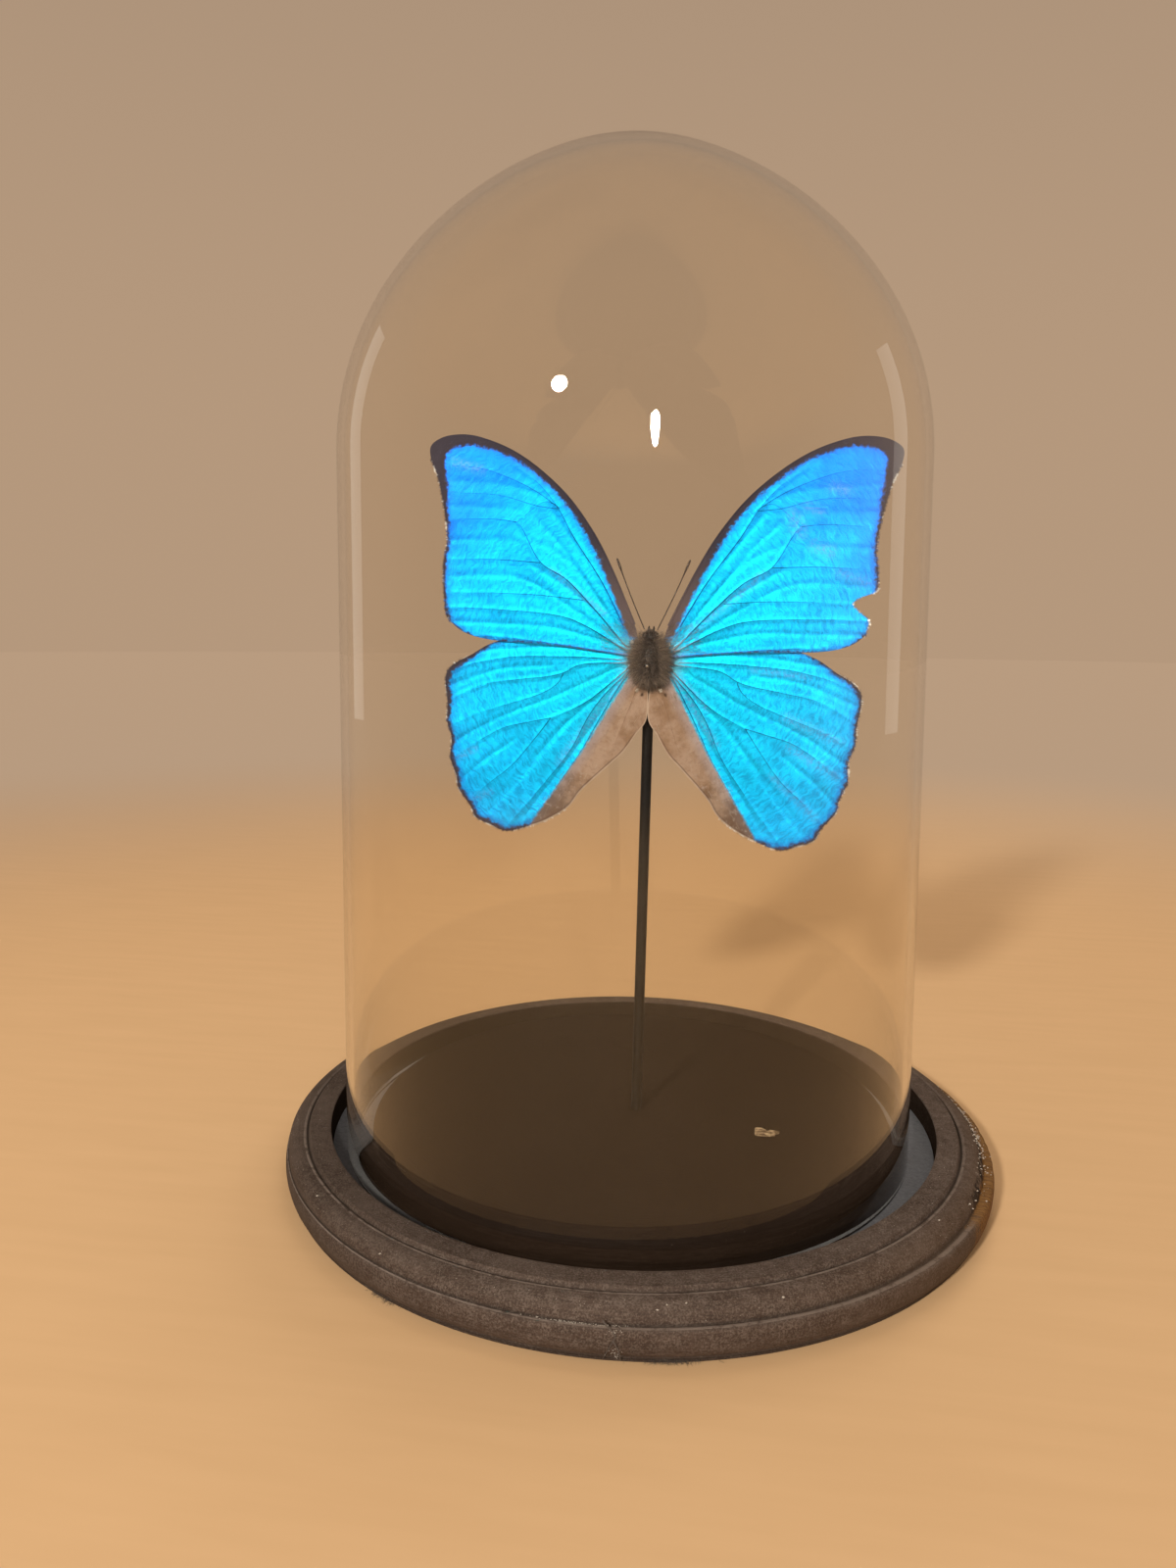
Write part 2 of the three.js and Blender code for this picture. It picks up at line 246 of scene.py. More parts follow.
# ---- Mesh making ----
class Stock:
    """Points, faces and marks gathered for one piece, in millimetres."""

    def __init__(self):
        self.points, self.faces, self.kinds, self.marks = [], [], [], []
        self.count = 0

    def add(self, points, faces, kind=0, marks=None):
        """faces is a list of index arrays, each with faces of one number of corners. kind is their finish,
        or a list with the finish for each array: one for all its faces, or an array with one for each."""
        kinds = kind if isinstance(kind, list) else [kind] * len(faces)
        for corners, finish in zip(faces, kinds):
            self.faces.extend((np.asarray(corners) + self.count).tolist())
            self.kinds.append(np.broadcast_to(finish, len(corners)))
        self.points.append(np.asarray(points, float))
        self.marks.append(marks or {})
        self.count += len(points)

    def add_own(self, points, faces, kind=0, marks=None):
        """As add, for points in the specimen's own frame."""
        self.add(in_place(points), faces, kind, marks)

    def make(self, name, finishes, sharp=None):
        mesh = bpy.data.meshes.new(name)
        mesh.from_pydata((np.concatenate(self.points) * MM).tolist(), [], self.faces)
        for finish in finishes:
            mesh.materials.append(finish.material)
        mesh.polygons.foreach_set("material_index", np.concatenate(self.kinds).astype(np.int32))
        for mark, sample in {mark: sample for marks in self.marks for mark, sample in marks.items()}.items():
            flat = np.ndim(sample) == 1
            layer = mesh.attributes.new(mark, "FLOAT" if flat else "FLOAT_VECTOR", "POINT")
            values = [marks.get(mark, np.zeros((len(points), *sample.shape[1:])))
                      for points, marks in zip(self.points, self.marks)]
            values = np.concatenate(values).astype(np.float32)
            layer.data.foreach_set("value" if flat else "vector", values.ravel())
        mesh.shade_smooth()
        if sharp:
            mesh.set_sharp_from_angle(angle=math.radians(sharp))
        piece = add_object(name, mesh)
        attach(piece, "root")
        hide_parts(name)
        return piece


def make_piece(name, finish, slot, *parts, sharp=None):
    """A piece of one finish, from the points and faces of its parts."""
    stock = Stock()
    for points, faces in parts:
        stock.add(points, faces)
    return stock.make(name, [finish], sharp)


def unit(ways):
    """Each row at a length of 1."""
    return ways / np.linalg.norm(ways, axis=1)[:, None]


def all_round(sides):
    return np.arange(sides) * 2 * math.pi / sides


def rotated(x, y, turn):
    return x * np.cos(turn) - y * np.sin(turn), x * np.sin(turn) + y * np.cos(turn)


def smooth_line(points, steps):
    """A uniform Catmull-Rom line through the points, which stops at the first and the last."""
    points = np.asarray(points, float)
    last = len(points) - 1
    where = np.linspace(0, last, steps + 1)
    start = np.minimum(where.astype(int), last - 1)
    t = (where - start)[:, None]
    p0, p1, p2, p3 = (points[np.clip(start + step, 0, last)] for step in (-1, 0, 1, 2))
    v0, v1 = (p2 - p0) / 2, (p3 - p1) / 2
    return ((2 * p1 - 2 * p2 + v0 + v1) * t ** 3 + (-3 * p1 + 3 * p2 - 2 * v0 - v1) * t ** 2
            + v0 * t + p1)


def follow(where, places, line):
    """Flat points on a line of straight stretches, whose own points are at the given places."""
    return np.stack([np.interp(where, places, line[:, axis]) for axis in (0, 1)], 1)


def ring_grid(rows, columns, loop=True, ring=False):
    """Quads of a grid of rows by columns of points. loop closes it round its columns, ring round its rows."""
    row, column = np.meshgrid(np.arange(rows if ring else rows - 1),
                              np.arange(columns if loop else columns - 1), indexing="ij")
    above, beside = (row + 1) % rows, (column + 1) % columns
    corners = ((row, column), (row, beside), (above, beside), (above, column))
    return np.stack([(r * columns + c).ravel() for r, c in corners], 1)


def turned(profile, sides, closed=False):
    """Points and faces of a profile of [radius, height] turned about Z. A closed profile makes a ring."""
    profile = np.asarray(profile, float)
    radius, height = profile[:, :1], profile[:, 1:]
    turn = all_round(sides)
    points = np.stack((radius * np.cos(turn), radius * np.sin(turn), np.repeat(height, sides, 1)), 2)
    return points.reshape(-1, 3), ring_grid(len(profile), sides, ring=closed)


def tube(path, radii, sides=12, flat=1.0):
    """A closed tube along a path, with a radius for each of its points. flat squeezes it across Y."""
    path = np.asarray(path, float)
    way = unit(np.gradient(path, axis=0))
    across = unit(np.cross(way, (0, 1, 0)))
    out = np.cross(across, way)
    turn = all_round(sides)[:, None]
    ring = np.cos(turn) * across[:, None] + flat * np.sin(turn) * out[:, None]
    points = (path[:, None] + ring * np.asarray(radii)[:, None, None]).reshape(-1, 3)
    column = np.arange(sides)
    beside = (column + 1) % sides
    first, top = len(points), len(points) - sides
    ends = ((first, beside, column), (first + 1, top + column, top + beside))
    ends = np.concatenate([np.stack(np.broadcast_arrays(*corners), 1) for corners in ends])
    return np.concatenate((points, path[:1], path[-1:])), [ring_grid(len(path), sides), ends]


HAIR_POINTS = 10


def hairs(roots, ways, lengths, width, droop=(0, 0, 0)):
    """Three-sided tapered hairs. Each starts at its root, goes along its way and bends by droop."""
    roots, ways = np.asarray(roots, float), unit(np.asarray(ways, float))
    aside = unit(np.cross(ways, rng.normal(size=ways.shape)))
    third = np.cross(ways, aside)
    lengths, width = (np.broadcast_to(size, len(roots))[:, None] for size in (lengths, width))
    rows = []
    for share, thick in ((0.0, 1.0), (0.45, 0.75), (0.8, 0.42)):
        middle = roots + ways * lengths * share + np.asarray(droop) * lengths * share ** 2
        for turn in all_round(3):
            rows.append(middle + (aside * math.cos(turn) + third * math.sin(turn)) * width * thick / 2)
    rows.append(roots + ways * lengths + np.asarray(droop) * lengths)
    start = np.arange(len(roots))[:, None] * HAIR_POINTS
    tips = [[0, 2, 1], [6, 7, 9], [7, 8, 9], [8, 6, 9]]
    faces = [np.concatenate([start + corners for corners in part]) for part in (ring_grid(3, 3), tips)]
    return np.stack(rows, 1).reshape(-1, 3), faces


def grains(places, sizes, turn=None, stretch=1.0):
    """Small uneven eight-faced grains lying at the places, longer along their turn by stretch."""
    shape = np.array([(1, 0, 0), (-1, 0, 0), (0, 1, 0), (0, -1, 0), (0, 0, 0.6), (0, 0, -0.6)], float)
    shape[:2] *= stretch
    if turn is None:
        turn = rng.uniform(0, math.pi, len(places))
    grow = rng.uniform(0.5, 1.3, (len(places), 6, 1)) * np.asarray(sizes)[:, None, None] / 2
    x, y, z = (shape[None] * grow).transpose(2, 0, 1)
    points = np.stack((*rotated(x, y, turn[:, None]), z), 2) + np.asarray(places)[:, None]
    faces = [(0, 2, 4), (2, 1, 4), (1, 3, 4), (3, 0, 4), (2, 0, 5), (1, 2, 5), (3, 1, 5), (0, 3, 5)]
    start = np.arange(len(places))[:, None] * 6
    return points.reshape(-1, 3), [np.concatenate([start + face for face in faces])]


def line_distance(points, line):
    """Each point's distance to a line of straight stretches, and the signed side of the nearest one."""
    line = np.asarray(line, float)
    best = np.full(len(points), 1e9)
    side = np.zeros(len(points))
    for a, b in zip(line[:-1], line[1:]):
        along = b - a
        share = np.clip(((points - a) @ along) / (along @ along), 0, 1)
        off = points - a - share[:, None] * along
        distance = np.hypot(off[:, 0], off[:, 1])
        closer = distance < best
        best[closer] = distance[closer]
        side[closer] = np.sign(along[0] * off[closer, 1] - along[1] * off[closer, 0])
    return best, side


def ridge(points, line, width):
    """1 on the line, fading with the distance from it."""
    return np.exp(-(line_distance(points, line)[0] / width) ** 2)


# ---- Base of turned wood ----
WORN_FROM, WORN_TO = -26, 24  # degrees round the base, from +X towards +Y
FRONT = math.radians(-90)
BASE_SIDES, FELT_SIDES, DOME_SIDES = 288, 200, 216
SPECKLE, FLUFF, SHADED = 1, 2, 3  # finishes of the base after the stained wood


def stained_wood_finish(name, gloss, dome_shade):
    """Dark stain, dusty and rubbed outside the dome; under the dome free of dust and painted nearly black as
    the dome's shade.
    """
    finish = Finish(name, gloss)
    mask, near, noise = finish.mask, finish.near, finish.noise
    place = finish.place()
    x, y, z = finish.split(place)
    radius = finish.mark("turned")
    angle = finish.maths("ARCTAN2", y, x)
    up = finish.split(finish.node("NewGeometry", None, None, "Normal"))[2]
    turning = noise(finish.join(radius * 2.2, angle * 9.0, z * 2.2), 1.0, 4.0, 0.6)
    grain = noise(finish.join(x * 0.16, y * 1.9, z * 1.9), 1.0, 5.0, 0.62)
    cloud = noise(place, 0.045, 3.0)
    speck = noise(place, 2.1, 3.0, 0.75)
    ragged = noise(place, 0.35, 4.0, 0.65)
    stain = finish.ramp(turning * 0.35 + grain * 0.30 + cloud * 0.15 + speck * 0.20,
                        (0.32, (0.020, 0.012, 0.008)), (0.48, (0.050, 0.031, 0.022)),
                        (0.66, (0.098, 0.066, 0.050)))
    dusty = mask(radius, RIM_INNER_R - 1.1, RIM_INNER_R + 0.4)
    film = mask(up, 0.0, 0.9) * mask(cloud + ragged * 0.5, 0.50, 0.95) * dusty
    dust = mask(speck + ragged * 0.4, 0.64, 0.84) * mask(up, -0.9, 0.3) * dusty

    def ring(at, half, low, high):
        return near(radius, at, half) * mask(z, low, high)

    # Pale arrises on the lip and the ledge: dust on the edges and partly a painted highlight, strongest in
    # front
    front = mask(y, 10.0, -85.0)
    arris_dust_and_highlight = ring(LIP_R + 0.1, 0.55, 12.4, 13.0) * (0.25 + front * 0.75) + ring(LEDGE_R + 0.6, 0.5, 8.2, 8.7)
    # Painted shade: the line inside the lip is dark at the sides and fades in front, and a fainter one lies
    # under the ledge
    quirk_painted_shade = ring(QUIRK_R + 0.15, 0.42, 12.4, 12.8) * (0.95 - front * 0.6)
    quirk_painted_shade = quirk_painted_shade + ring(LEDGE_R - 0.15, 0.25, 8.5, 8.7) * mask(z, 9.5, 9.1) * 0.45
    # Worn to the bare wood along the right-hand edge, with a broken near-black line along the ledge beside it
    middle, half = (math.radians(a / 2) for a in (WORN_FROM + WORN_TO, WORN_TO - WORN_FROM))
    edge = mask(radius, 105.7, 106.9) * near(angle, middle, half * 1.5, half * 0.6)
    worn = mask(edge + (ragged - 0.5) * 0.8, 0.30, 0.74) * mask(z, 1.4, 3.2)
    bare = finish.blend(mask(grain, 0.35, 0.65), (0.110, 0.048, 0.011), (0.300, 0.142, 0.036))
    brownish = near(angle, middle, half * 3.2, half) * mask(radius, 99.0, 106.0)
    ledge_dark_line = ring(105.9, 0.9, 8.5, 8.9) * near(angle, middle, half * 1.1, half * 0.7)
    coat = finish.layers(
        stain,
        (film * 0.24, (0.16, 0.120, 0.096)),
        (dust * 0.50, (0.21, 0.165, 0.135)),
        (mask(x, 10.0, -105.0) * 0.38, (0.018, 0.011, 0.007)),
        (arris_dust_and_highlight * mask(ragged, 0.30, 0.52) * 0.85, (0.235, 0.185, 0.152)),
        (quirk_painted_shade, (0.009, 0.006, 0.004)),
        # Painted shade in the undercuts of the foot, below 2 mm
        (mask(z, 2.1, 1.6) * 0.55, (0.018, 0.010, 0.006)),
        (worn * 0.94, bare),
        (brownish * 0.30, (0.095, 0.054, 0.026)),
        (ledge_dark_line * mask(ragged, 0.56, 0.44) * 0.92, (0.010, 0.006, 0.004)),
        # painted shade under the dome
        (dome_shade, (0.015, 0.009, 0.0055)),
    )
    relief = turning + dust * 0.8 + ragged * 0.6 - worn * 0.5
    return finish.cover(coat, 0.64 + dust * 0.3 + turning * 0.12, relief, 0.6, 0.28)


def base_profile():
    turn = np.linspace(0, math.pi / 2, 15)
    cove = zip(LIP_R + 0.3 + (LEDGE_R - LIP_R - 0.6) * np.cos(turn), COVE_Z + (LIP_Z - COVE_Z) * np.sin(turn))
    return [
        (0.0, 0.0), (60.0, 0.0), (FOOT_R - 0.3, 0.0), (FOOT_R, 0.3), (FOOT_R, 0.75),
        (FOOT_R - 0.6, 0.95), (FOOT_R - 0.6, 1.05), (FOOT_R + 0.3, 1.2), (FOOT_R + 0.4, 1.4),
        (FOOT_R + 0.3, 1.7), (FOOT_R - 0.2, 1.85), (FOOT_R - 0.2, 1.95), (FOOT_R + 0.9, 2.2),
        (FOOT_R + 1.25, 2.8), (TORUS_R - 0.3, 3.6), (TORUS_R - 0.08, 4.6), (TORUS_R, TORUS_Z),
        (TORUS_R - 0.02, 6.6), (TORUS_R - 0.12, 7.6), (TORUS_TOP_R, TORUS_TOP_Z),
        (TORUS_TOP_R - 0.12, 8.62), (TORUS_TOP_R - 0.4, 8.78), (LEDGE_R + 0.2, 8.84), (LEDGE_R, 8.72),
        (LEDGE_R - 0.2, 8.8), *cove,
        (LIP_R, LIP_Z - 0.02), (LIP_R - 0.25, LIP_Z - 0.15), (QUIRK_R + 0.15, QUIRK_Z + 0.05),
        (QUIRK_R - 0.1, QUIRK_Z + 0.02), (RIM_OUTER_R + 0.1, RIM_Z - 0.25), (RIM_OUTER_R - 0.15, RIM_Z),
        (98.6, RIM_Z), (97.0, RIM_Z), (95.5, RIM_Z), (RIM_INNER_R + EDGE_BREAK, RIM_Z),
        (RIM_INNER_R + 0.12, RIM_Z - 0.12), (RIM_INNER_R, RIM_Z - EDGE_BREAK), (RIM_INNER_R, 11.5),
        (RIM_INNER_R, GROOVE_Z), (88.0, GROOVE_Z), (PLATFORM_R, GROOVE_Z), (PLATFORM_R, 10.5),
        (PLATFORM_R, PLATFORM_Z - EDGE_BREAK), (PLATFORM_R - 0.12, PLATFORM_Z - 0.12),
        *((radius, PLATFORM_Z) for radius in (PLATFORM_R - EDGE_BREAK, 77, 70, 55, 35, 15, ROD_R + 2.2, 0)),
    ]


def on_top(points):
    """Moves what stands above the torus over to the second centre of the turning."""
    share = (TORUS_TOP_R - np.hypot(points[:, 0], points[:, 1])) / (TORUS_TOP_R - TOP_R)
    over = np.where(points[:, 2] > GROOVE_Z - EDGE_BREAK, np.clip(share, 0, 1) * TOP_X, 0)
    return points + over[:, None] * (1, 0, 0)


def on_ring(radius, angle, height):
    height = np.broadcast_to(height, np.shape(angle))
    return on_top(np.stack((radius * np.cos(angle), radius * np.sin(angle), height), -1))


def cove_height(radius):
    """Height of the rounded top between the ledge and the lip."""
    share = np.clip((LEDGE_R - radius) / (LEDGE_R - LIP_R), 0, 1)
    return LEDGE_Z + (LIP_Z - LEDGE_Z) * np.sqrt(1 - (1 - share) ** 2)


def speckle(stock, turn, radius, smallest, largest, height=None):
    """Pale grains at those places round the base, on the cove unless a height is given."""
    height = cove_height(radius) if height is None else height
    sizes = rng.uniform(smallest, largest, len(turn))
    stock.add(*grains(on_ring(radius, turn, height), sizes), kind=SPECKLE)


def make_base():
    stock = Stock()
    points, faces = turned(base_profile(), BASE_SIDES)
    angle = np.arctan2(points[:, 1], points[:, 0])
    radius = np.hypot(points[:, 0], points[:, 1])
    # The rubbed edge is uneven
    inner = np.clip(1 - np.abs(np.degrees(angle)) / 26, 0, 1) * np.clip((radius - 105.8) / 1.2, 0, 1)
    chips = 0.10 * np.sin(37 * angle) + 0.09 * np.sin(83 * angle + points[:, 2]) + 0.07 * np.sin(141 * angle)
    points[:, :2] *= (1 - inner * np.abs(chips + 0.08) / 108)[:, None]
    under_glass = radius[faces].max(1) < RIM_INNER_R + 0.05
    stock.add(on_top(points), [faces], [np.where(under_glass, SHADED, 0)], {"turned": radius})

    # Dust: fine specks everywhere, more of them on the ledge, and flakes of old finish at the worn edge
    def anywhere(many):
        return rng.uniform(-math.pi, math.pi, many)

    speckle(stock, anywhere(900), rng.uniform(LIP_R + 0.2, LEDGE_R - 0.1, 900), 0.08, 0.26)
    speckle(stock, anywhere(420), rng.uniform(RIM_INNER_R + 0.7, RIM_OUTER_R - 0.4, 420), 0.07, 0.22, RIM_Z)
    speckle(stock, anywhere(260), 80 * np.sqrt(rng.uniform(0.001, 1, 260)), 0.06, 0.17, PLATFORM_Z)
    speckle(stock, rng.normal(FRONT, 0.045, 160), LEDGE_R + rng.uniform(-0.3, 0.4, 160), 0.10, 0.42,
            LEDGE_Z - 0.1)
    speckle(stock, rng.normal(math.radians(2), 0.17, 210), LEDGE_R + rng.normal(-0.3, 0.7, 210), 0.12, 0.75)
    for turn, size in ((15.5, 0.9), (12.8, 0.6), (9.2, 1.0), (7.6, 0.55), (1.0, 0.7), (-1.6, 1.1),
                       (-3.4, 0.8), (-5.0, 0.5), (-7.5, 0.45), (4.2, 0.5)):
        turn = np.radians([turn])
        place = on_ring(np.array([LEDGE_R - 0.3 + rng.normal(0, 0.35)]), turn, LEDGE_Z + 0.2)
        stock.add(*grains(place, [size * 1.3], turn + math.pi / 2, 2.4), kind=SPECKLE)
    for turn, radius in ((-79, 104.3), (-76.5, 104.0), (-80.2, 105.2), (-33, 103.2), (-24, 105.9),
                         (-22, 106.3), (-64, 105.0), (-119, 105.6), (-137, 104.2)):
        place = on_ring(np.array([radius]), np.radians([turn]), cove_height(radius))
        stock.add(*grains(place, [0.75]), kind=SPECKLE)
    add_cobweb(stock)
    add_fluff(stock)
    finishes = [
        stained_wood_finish("stained_wood", 0.2, 0.0),
        mottled_finish("pale_dust", 0.2, (0.8, 2.0), ((0.30, 0.25, 0.20), (0.62, 0.56, 0.48)), 0.8, 0.15),
        mottled_finish("dark_fluff", 0.2, (1.4, 2.0), ((0.035, 0.028, 0.024), (0.16, 0.13, 0.11)), 0.85, 0.1),
        # the wood under the dome, with painted shade
        stained_wood_finish("shaded_wood", 0.0, 0.80),
    ]
    stock.make("base", finishes, sharp=40)


def add_cobweb(stock):
    """A stuck thread of dust down the front of the base: it starts on the ledge and forks to the foot."""
    fork = (0.5, 6.4, 108.6)
    stem = [(-1.6, 10.4, 107.3), (-0.2, 9.0, 108.3), (0.9, 7.6, 108.5), fork]
    left = [fork, (-0.5, 4.4, 108.5), (-1.4, 2.4, 107.9), (-2.0, 0.6, 107.1)]
    right = [fork, (1.4, 5.0, 108.6), (1.9, 3.0, 108.3), (2.1, 0.7, 107.2)]
    for way, thick in ((stem, 0.42), (left, 0.26), (right, 0.36)):
        aside, height, radius = np.array(way).T
        line = smooth_line(on_ring(radius, np.radians(-86.6 + aside / 1.9), height), 14)
        line = line + rng.normal(0, 0.07, line.shape)
        stock.add(*tube(line, np.linspace(thick, thick * 0.5, len(line)) / 2, 5), kind=FLUFF)
    speckle(stock, np.radians(rng.normal(-86.1, 0.45, 130)), TORUS_R - 0.15, 0.1, 0.34,
            rng.uniform(2.0, 9.0, 130))


def add_fluff(stock):
    """Tufts of dark dust that hang under the edge of the foot."""
    for degrees_round, spread, many in ((-79.2, 0.030, 260), (-119, 0.022, 120)):
        turn = rng.normal(math.radians(degrees_round), spread, many)
        roots = on_ring(FOOT_R - 0.4 + rng.uniform(0, 0.9, many), turn, rng.uniform(0.15, 1.0, many))
        outward = on_ring(np.ones(many), turn, 0.0)
        ways = outward + rng.normal(0, 0.8, (many, 3)) * (1, 1, 0.3)
        points, faces = hairs(roots, ways, rng.uniform(0.5, 1.7, many), 0.07)
        points[:, 2] = np.maximum(points[:, 2], 0.03)
        stock.add(points, faces, kind=FLUFF)


# ---- Felt ring ----
def felt_finish():
    finish = Finish("grey_felt", 0.1, {"Sheen Weight": 0.15, "Sheen Roughness": 0.5})
    place = finish.place()
    matted = finish.noise(place, 0.9, 5.0, 0.7)
    wool = finish.blend(matted, (0.022, 0.022, 0.026), (0.125, 0.125, 0.136))
    wool = finish.blend(finish.noise(place, 0.12) * 0.35, wool, (0.07, 0.058, 0.050))
    return finish.cover(wool, 0.86 + matted * 0.1, matted, 0.8, 0.3)


def make_felt_ring():
    profile = [(FELT_OUTER_R, FELT_FLOOR_Z), (FELT_OUTER_R, FELT_TOP_Z - 0.3),
               (FELT_OUTER_R - 0.4, FELT_TOP_Z - 0.05), ((FELT_INNER_R + FELT_OUTER_R) / 2, FELT_TOP_Z),
               (FELT_INNER_R + 0.4, FELT_TOP_Z - 0.05), (FELT_INNER_R, FELT_TOP_Z - 0.3),
               (FELT_INNER_R, FELT_FLOOR_Z)]
    points, faces = turned(profile, FELT_SIDES, closed=True)
    points[:, 2] += np.where(points[:, 2] > FELT_TOP_Z - 0.2, rng.normal(0, 0.035, len(points)), 0)
    many = 5200
    turn = rng.uniform(-math.pi, math.pi, many)
    radius = rng.uniform(FELT_INNER_R + 0.3, FELT_OUTER_R - 0.2, many)
    ways = rng.normal(size=(many, 3)) * (1, 1, 0.12) + (0, 0, 0.16)
    roots = on_ring(radius, turn, FELT_TOP_Z - 0.03)
    fibres = hairs(roots, ways, rng.uniform(0.5, 1.3, many), 0.06, (0, 0, -0.12))
    make_piece("felt_ring", felt_finish(), "grey_felt", (on_top(points), [faces]), fibres, sharp=50)


# ---- Glass dome ----
def dome_line(wall):
    """Half of the dome's section, from the middle of the crown down to just above the foot."""
    spring = DOME_SPRING_R - wall
    rise = np.sin(np.linspace(math.pi / 2, 0, 61))
    radius = spring * (1 - rise ** CROWN_SHOULDER) ** (1 / CROWN_POINT)
    crown = zip(radius, DOME_SPRING_Z + (DOME_CROWN - wall) * rise)
    foot, foot_z = DOME_FOOT_R - wall, DOME_FOOT_Z + LIP_ROUND
    return [*crown, *((spring + (foot - spring) * share, DOME_SPRING_Z + (foot_z - DOME_SPRING_Z) * share)
                      for share in np.linspace(0, 1, 13)[1:])]


def make_glass_dome():
    middle = DOME_FOOT_R - GLASS_WALL / 2
    lip = [(middle + math.cos(t) * GLASS_WALL / 2, DOME_FOOT_Z + LIP_ROUND + math.sin(t) * LIP_ROUND)
           for t in np.linspace(0, -math.pi, 9)[1:-1]]
    points, faces = turned(dome_line(GLASS_WALL) + lip[::-1] + dome_line(0.0)[::-1], DOME_SIDES)
    points[:, 0] += DOME_LEAN * points[:, 2] + DOME_X
    points[:, 1] += DOME_Y
    glass = Finish("dome_glass", 0.5, {"Base Color": (0.95, 0.925, 0.875, 1.0), "Transmission Weight": 1.0,
                                       "IOR": 1.42, "Roughness": 0.0})
    dome = make_piece("glass_dome", glass, "dome_glass", (points, [faces]))
    dome.visible_shadow = False  # lamps light what stands inside


# ---- Rod ----
def black_paint_finish():
    finish = Finish("black_paint", 0.08)
    place = finish.place()
    drawn = finish.node("VectorMath", {"operation": "MULTIPLY"}, {0: place, 1: (3.0, 3.0, 0.5)})
    drag = finish.noise(drawn, 1.0, 3.0)
    rub = finish.mask(finish.noise(place, 1.7, 3.0, 0.7), 0.60, 0.72)
    paint = finish.blend(rub * 0.4, (0.004, 0.0035, 0.003), (0.030, 0.024, 0.019))
    return finish.cover(paint, 0.44 + drag * 0.25, drag, 0.35, 0.12)


def make_rod():
    length = ROD_TOP_Z - ROD_FOOT_Z
    heights = [0.0, 0.3, 2.0, *np.linspace(5, length - 1.0, 30), length - 0.35, length]
    radii = [ROD_R - 0.3, *[ROD_R] * 32, ROD_R - 0.08, ROD_R - 0.5]
    lean = math.radians(ROD_LEAN)
    path = [(ROD_X + math.sin(lean) * h, ROD_Y, ROD_FOOT_Z + math.cos(lean) * h) for h in heights]
    make_piece("rod", black_paint_finish(), "black_paint", tube(path, radii, 32), sharp=60)


# ---- Specimen ----
def in_place(points):
    """From the specimen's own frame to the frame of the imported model."""
    x, y, z = np.asarray(points, float).T
    x, z = rotated(x, z, -math.radians(BODY_TURN))
    return np.stack((BODY_X + x, BODY_Y + y, BODY_Z + z), 1)


PIN_X, PIN_Z, PIN_R, PIN_HEAD_R = -0.3, -2.0, 0.25, 0.55
PIN_FRONT, PIN_BACK = -5.3, 3.4


def make_pin():
    finish = mottled_finish("pin_steel", 0.5, (2.0, 3.0), ((0.62, 0.60, 0.56), (0.40, 0.37, 0.32)), 0.16, 0.2,
                            {"Metallic": 1.0})
    # The tube helper sweeps across Y, so the pin is made along Z and laid over
    turn = np.linspace(0, math.pi * 0.86, 12)
    path = [(PIN_X, PIN_Z, PIN_FRONT - PIN_HEAD_R * math.cos(t)) for t in turn]
    radii = [max(PIN_HEAD_R * math.sin(t), 0.02) for t in turn]
    path += [(PIN_X, PIN_Z, y) for y in (PIN_FRONT + 0.65, -2.0, 1.0, PIN_BACK - 0.6, PIN_BACK)]
    radii += [PIN_R, PIN_R, PIN_R, PIN_R, 0.03]
    points, faces = tube(path, radii, 20)
    laid_over = in_place(points[:, [0, 2, 1]]), [face[:, ::-1] for face in faces]
    make_piece("pin", finish, "pin_steel", laid_over, sharp=50)


def hair_finish():
    """Hair from nearly black, through brown, to pale gold, by the tone at the points of the mesh."""
    finish = Finish("hair", 0.35)
    streak = finish.noise(finish.place(), 1.5, 2.0, 0.6)
    colour = finish.ramp(finish.mark("tone") + (streak - 0.5) * 0.25,
                         (0.0, (0.020, 0.015, 0.013)), (0.25, (0.072, 0.055, 0.047)),
                         (0.5, (0.175, 0.132, 0.104)), (0.75, (0.36, 0.25, 0.165)), (1.0, (0.78, 0.67, 0.54)))
    return finish.cover(colour, 0.45 + streak * 0.25)


def eye_finish():
    finish = Finish("eye_chitin", 0.6)
    cells = finish.node("TexVoronoi", None, {"Vector": finish.place(), "Scale": 9.0}, "Distance")
    colour = finish.blend(cells, (0.05, 0.028, 0.016), (0.012, 0.007, 0.005))
    return finish.cover(colour, 0.22 + cells * 0.2, cells, 0.3, 0.05)


def ball(radii, centre):
    """Points and faces of an ellipsoid with small rings at its ends, on an axis along Z."""
    profile = [(max(math.sin(t), 1e-3), -math.cos(t)) for t in np.linspace(0, math.pi, 25)]
    points, faces = turned(profile, 36)
    return points * radii + centre, [faces]


THORAX_RADII, THORAX_CENTRE = np.array((3.4, 3.1, 6.6)), np.array((0.1, -0.6, -1.0))
HEAD_RADII, HEAD_CENTRE = np.array((1.8, 1.8, 1.7)), np.array((0.0, -0.6, 6.2))
COAT_TONES = (0.36, 0.46, 0.60)


def skin_spots(radii, centre, many):
    """Random points on an ellipsoid with the outward way at each."""
    out = unit(rng.normal(size=(many, 3)))
    return out * radii * 0.97 + centre, unit(out / radii)


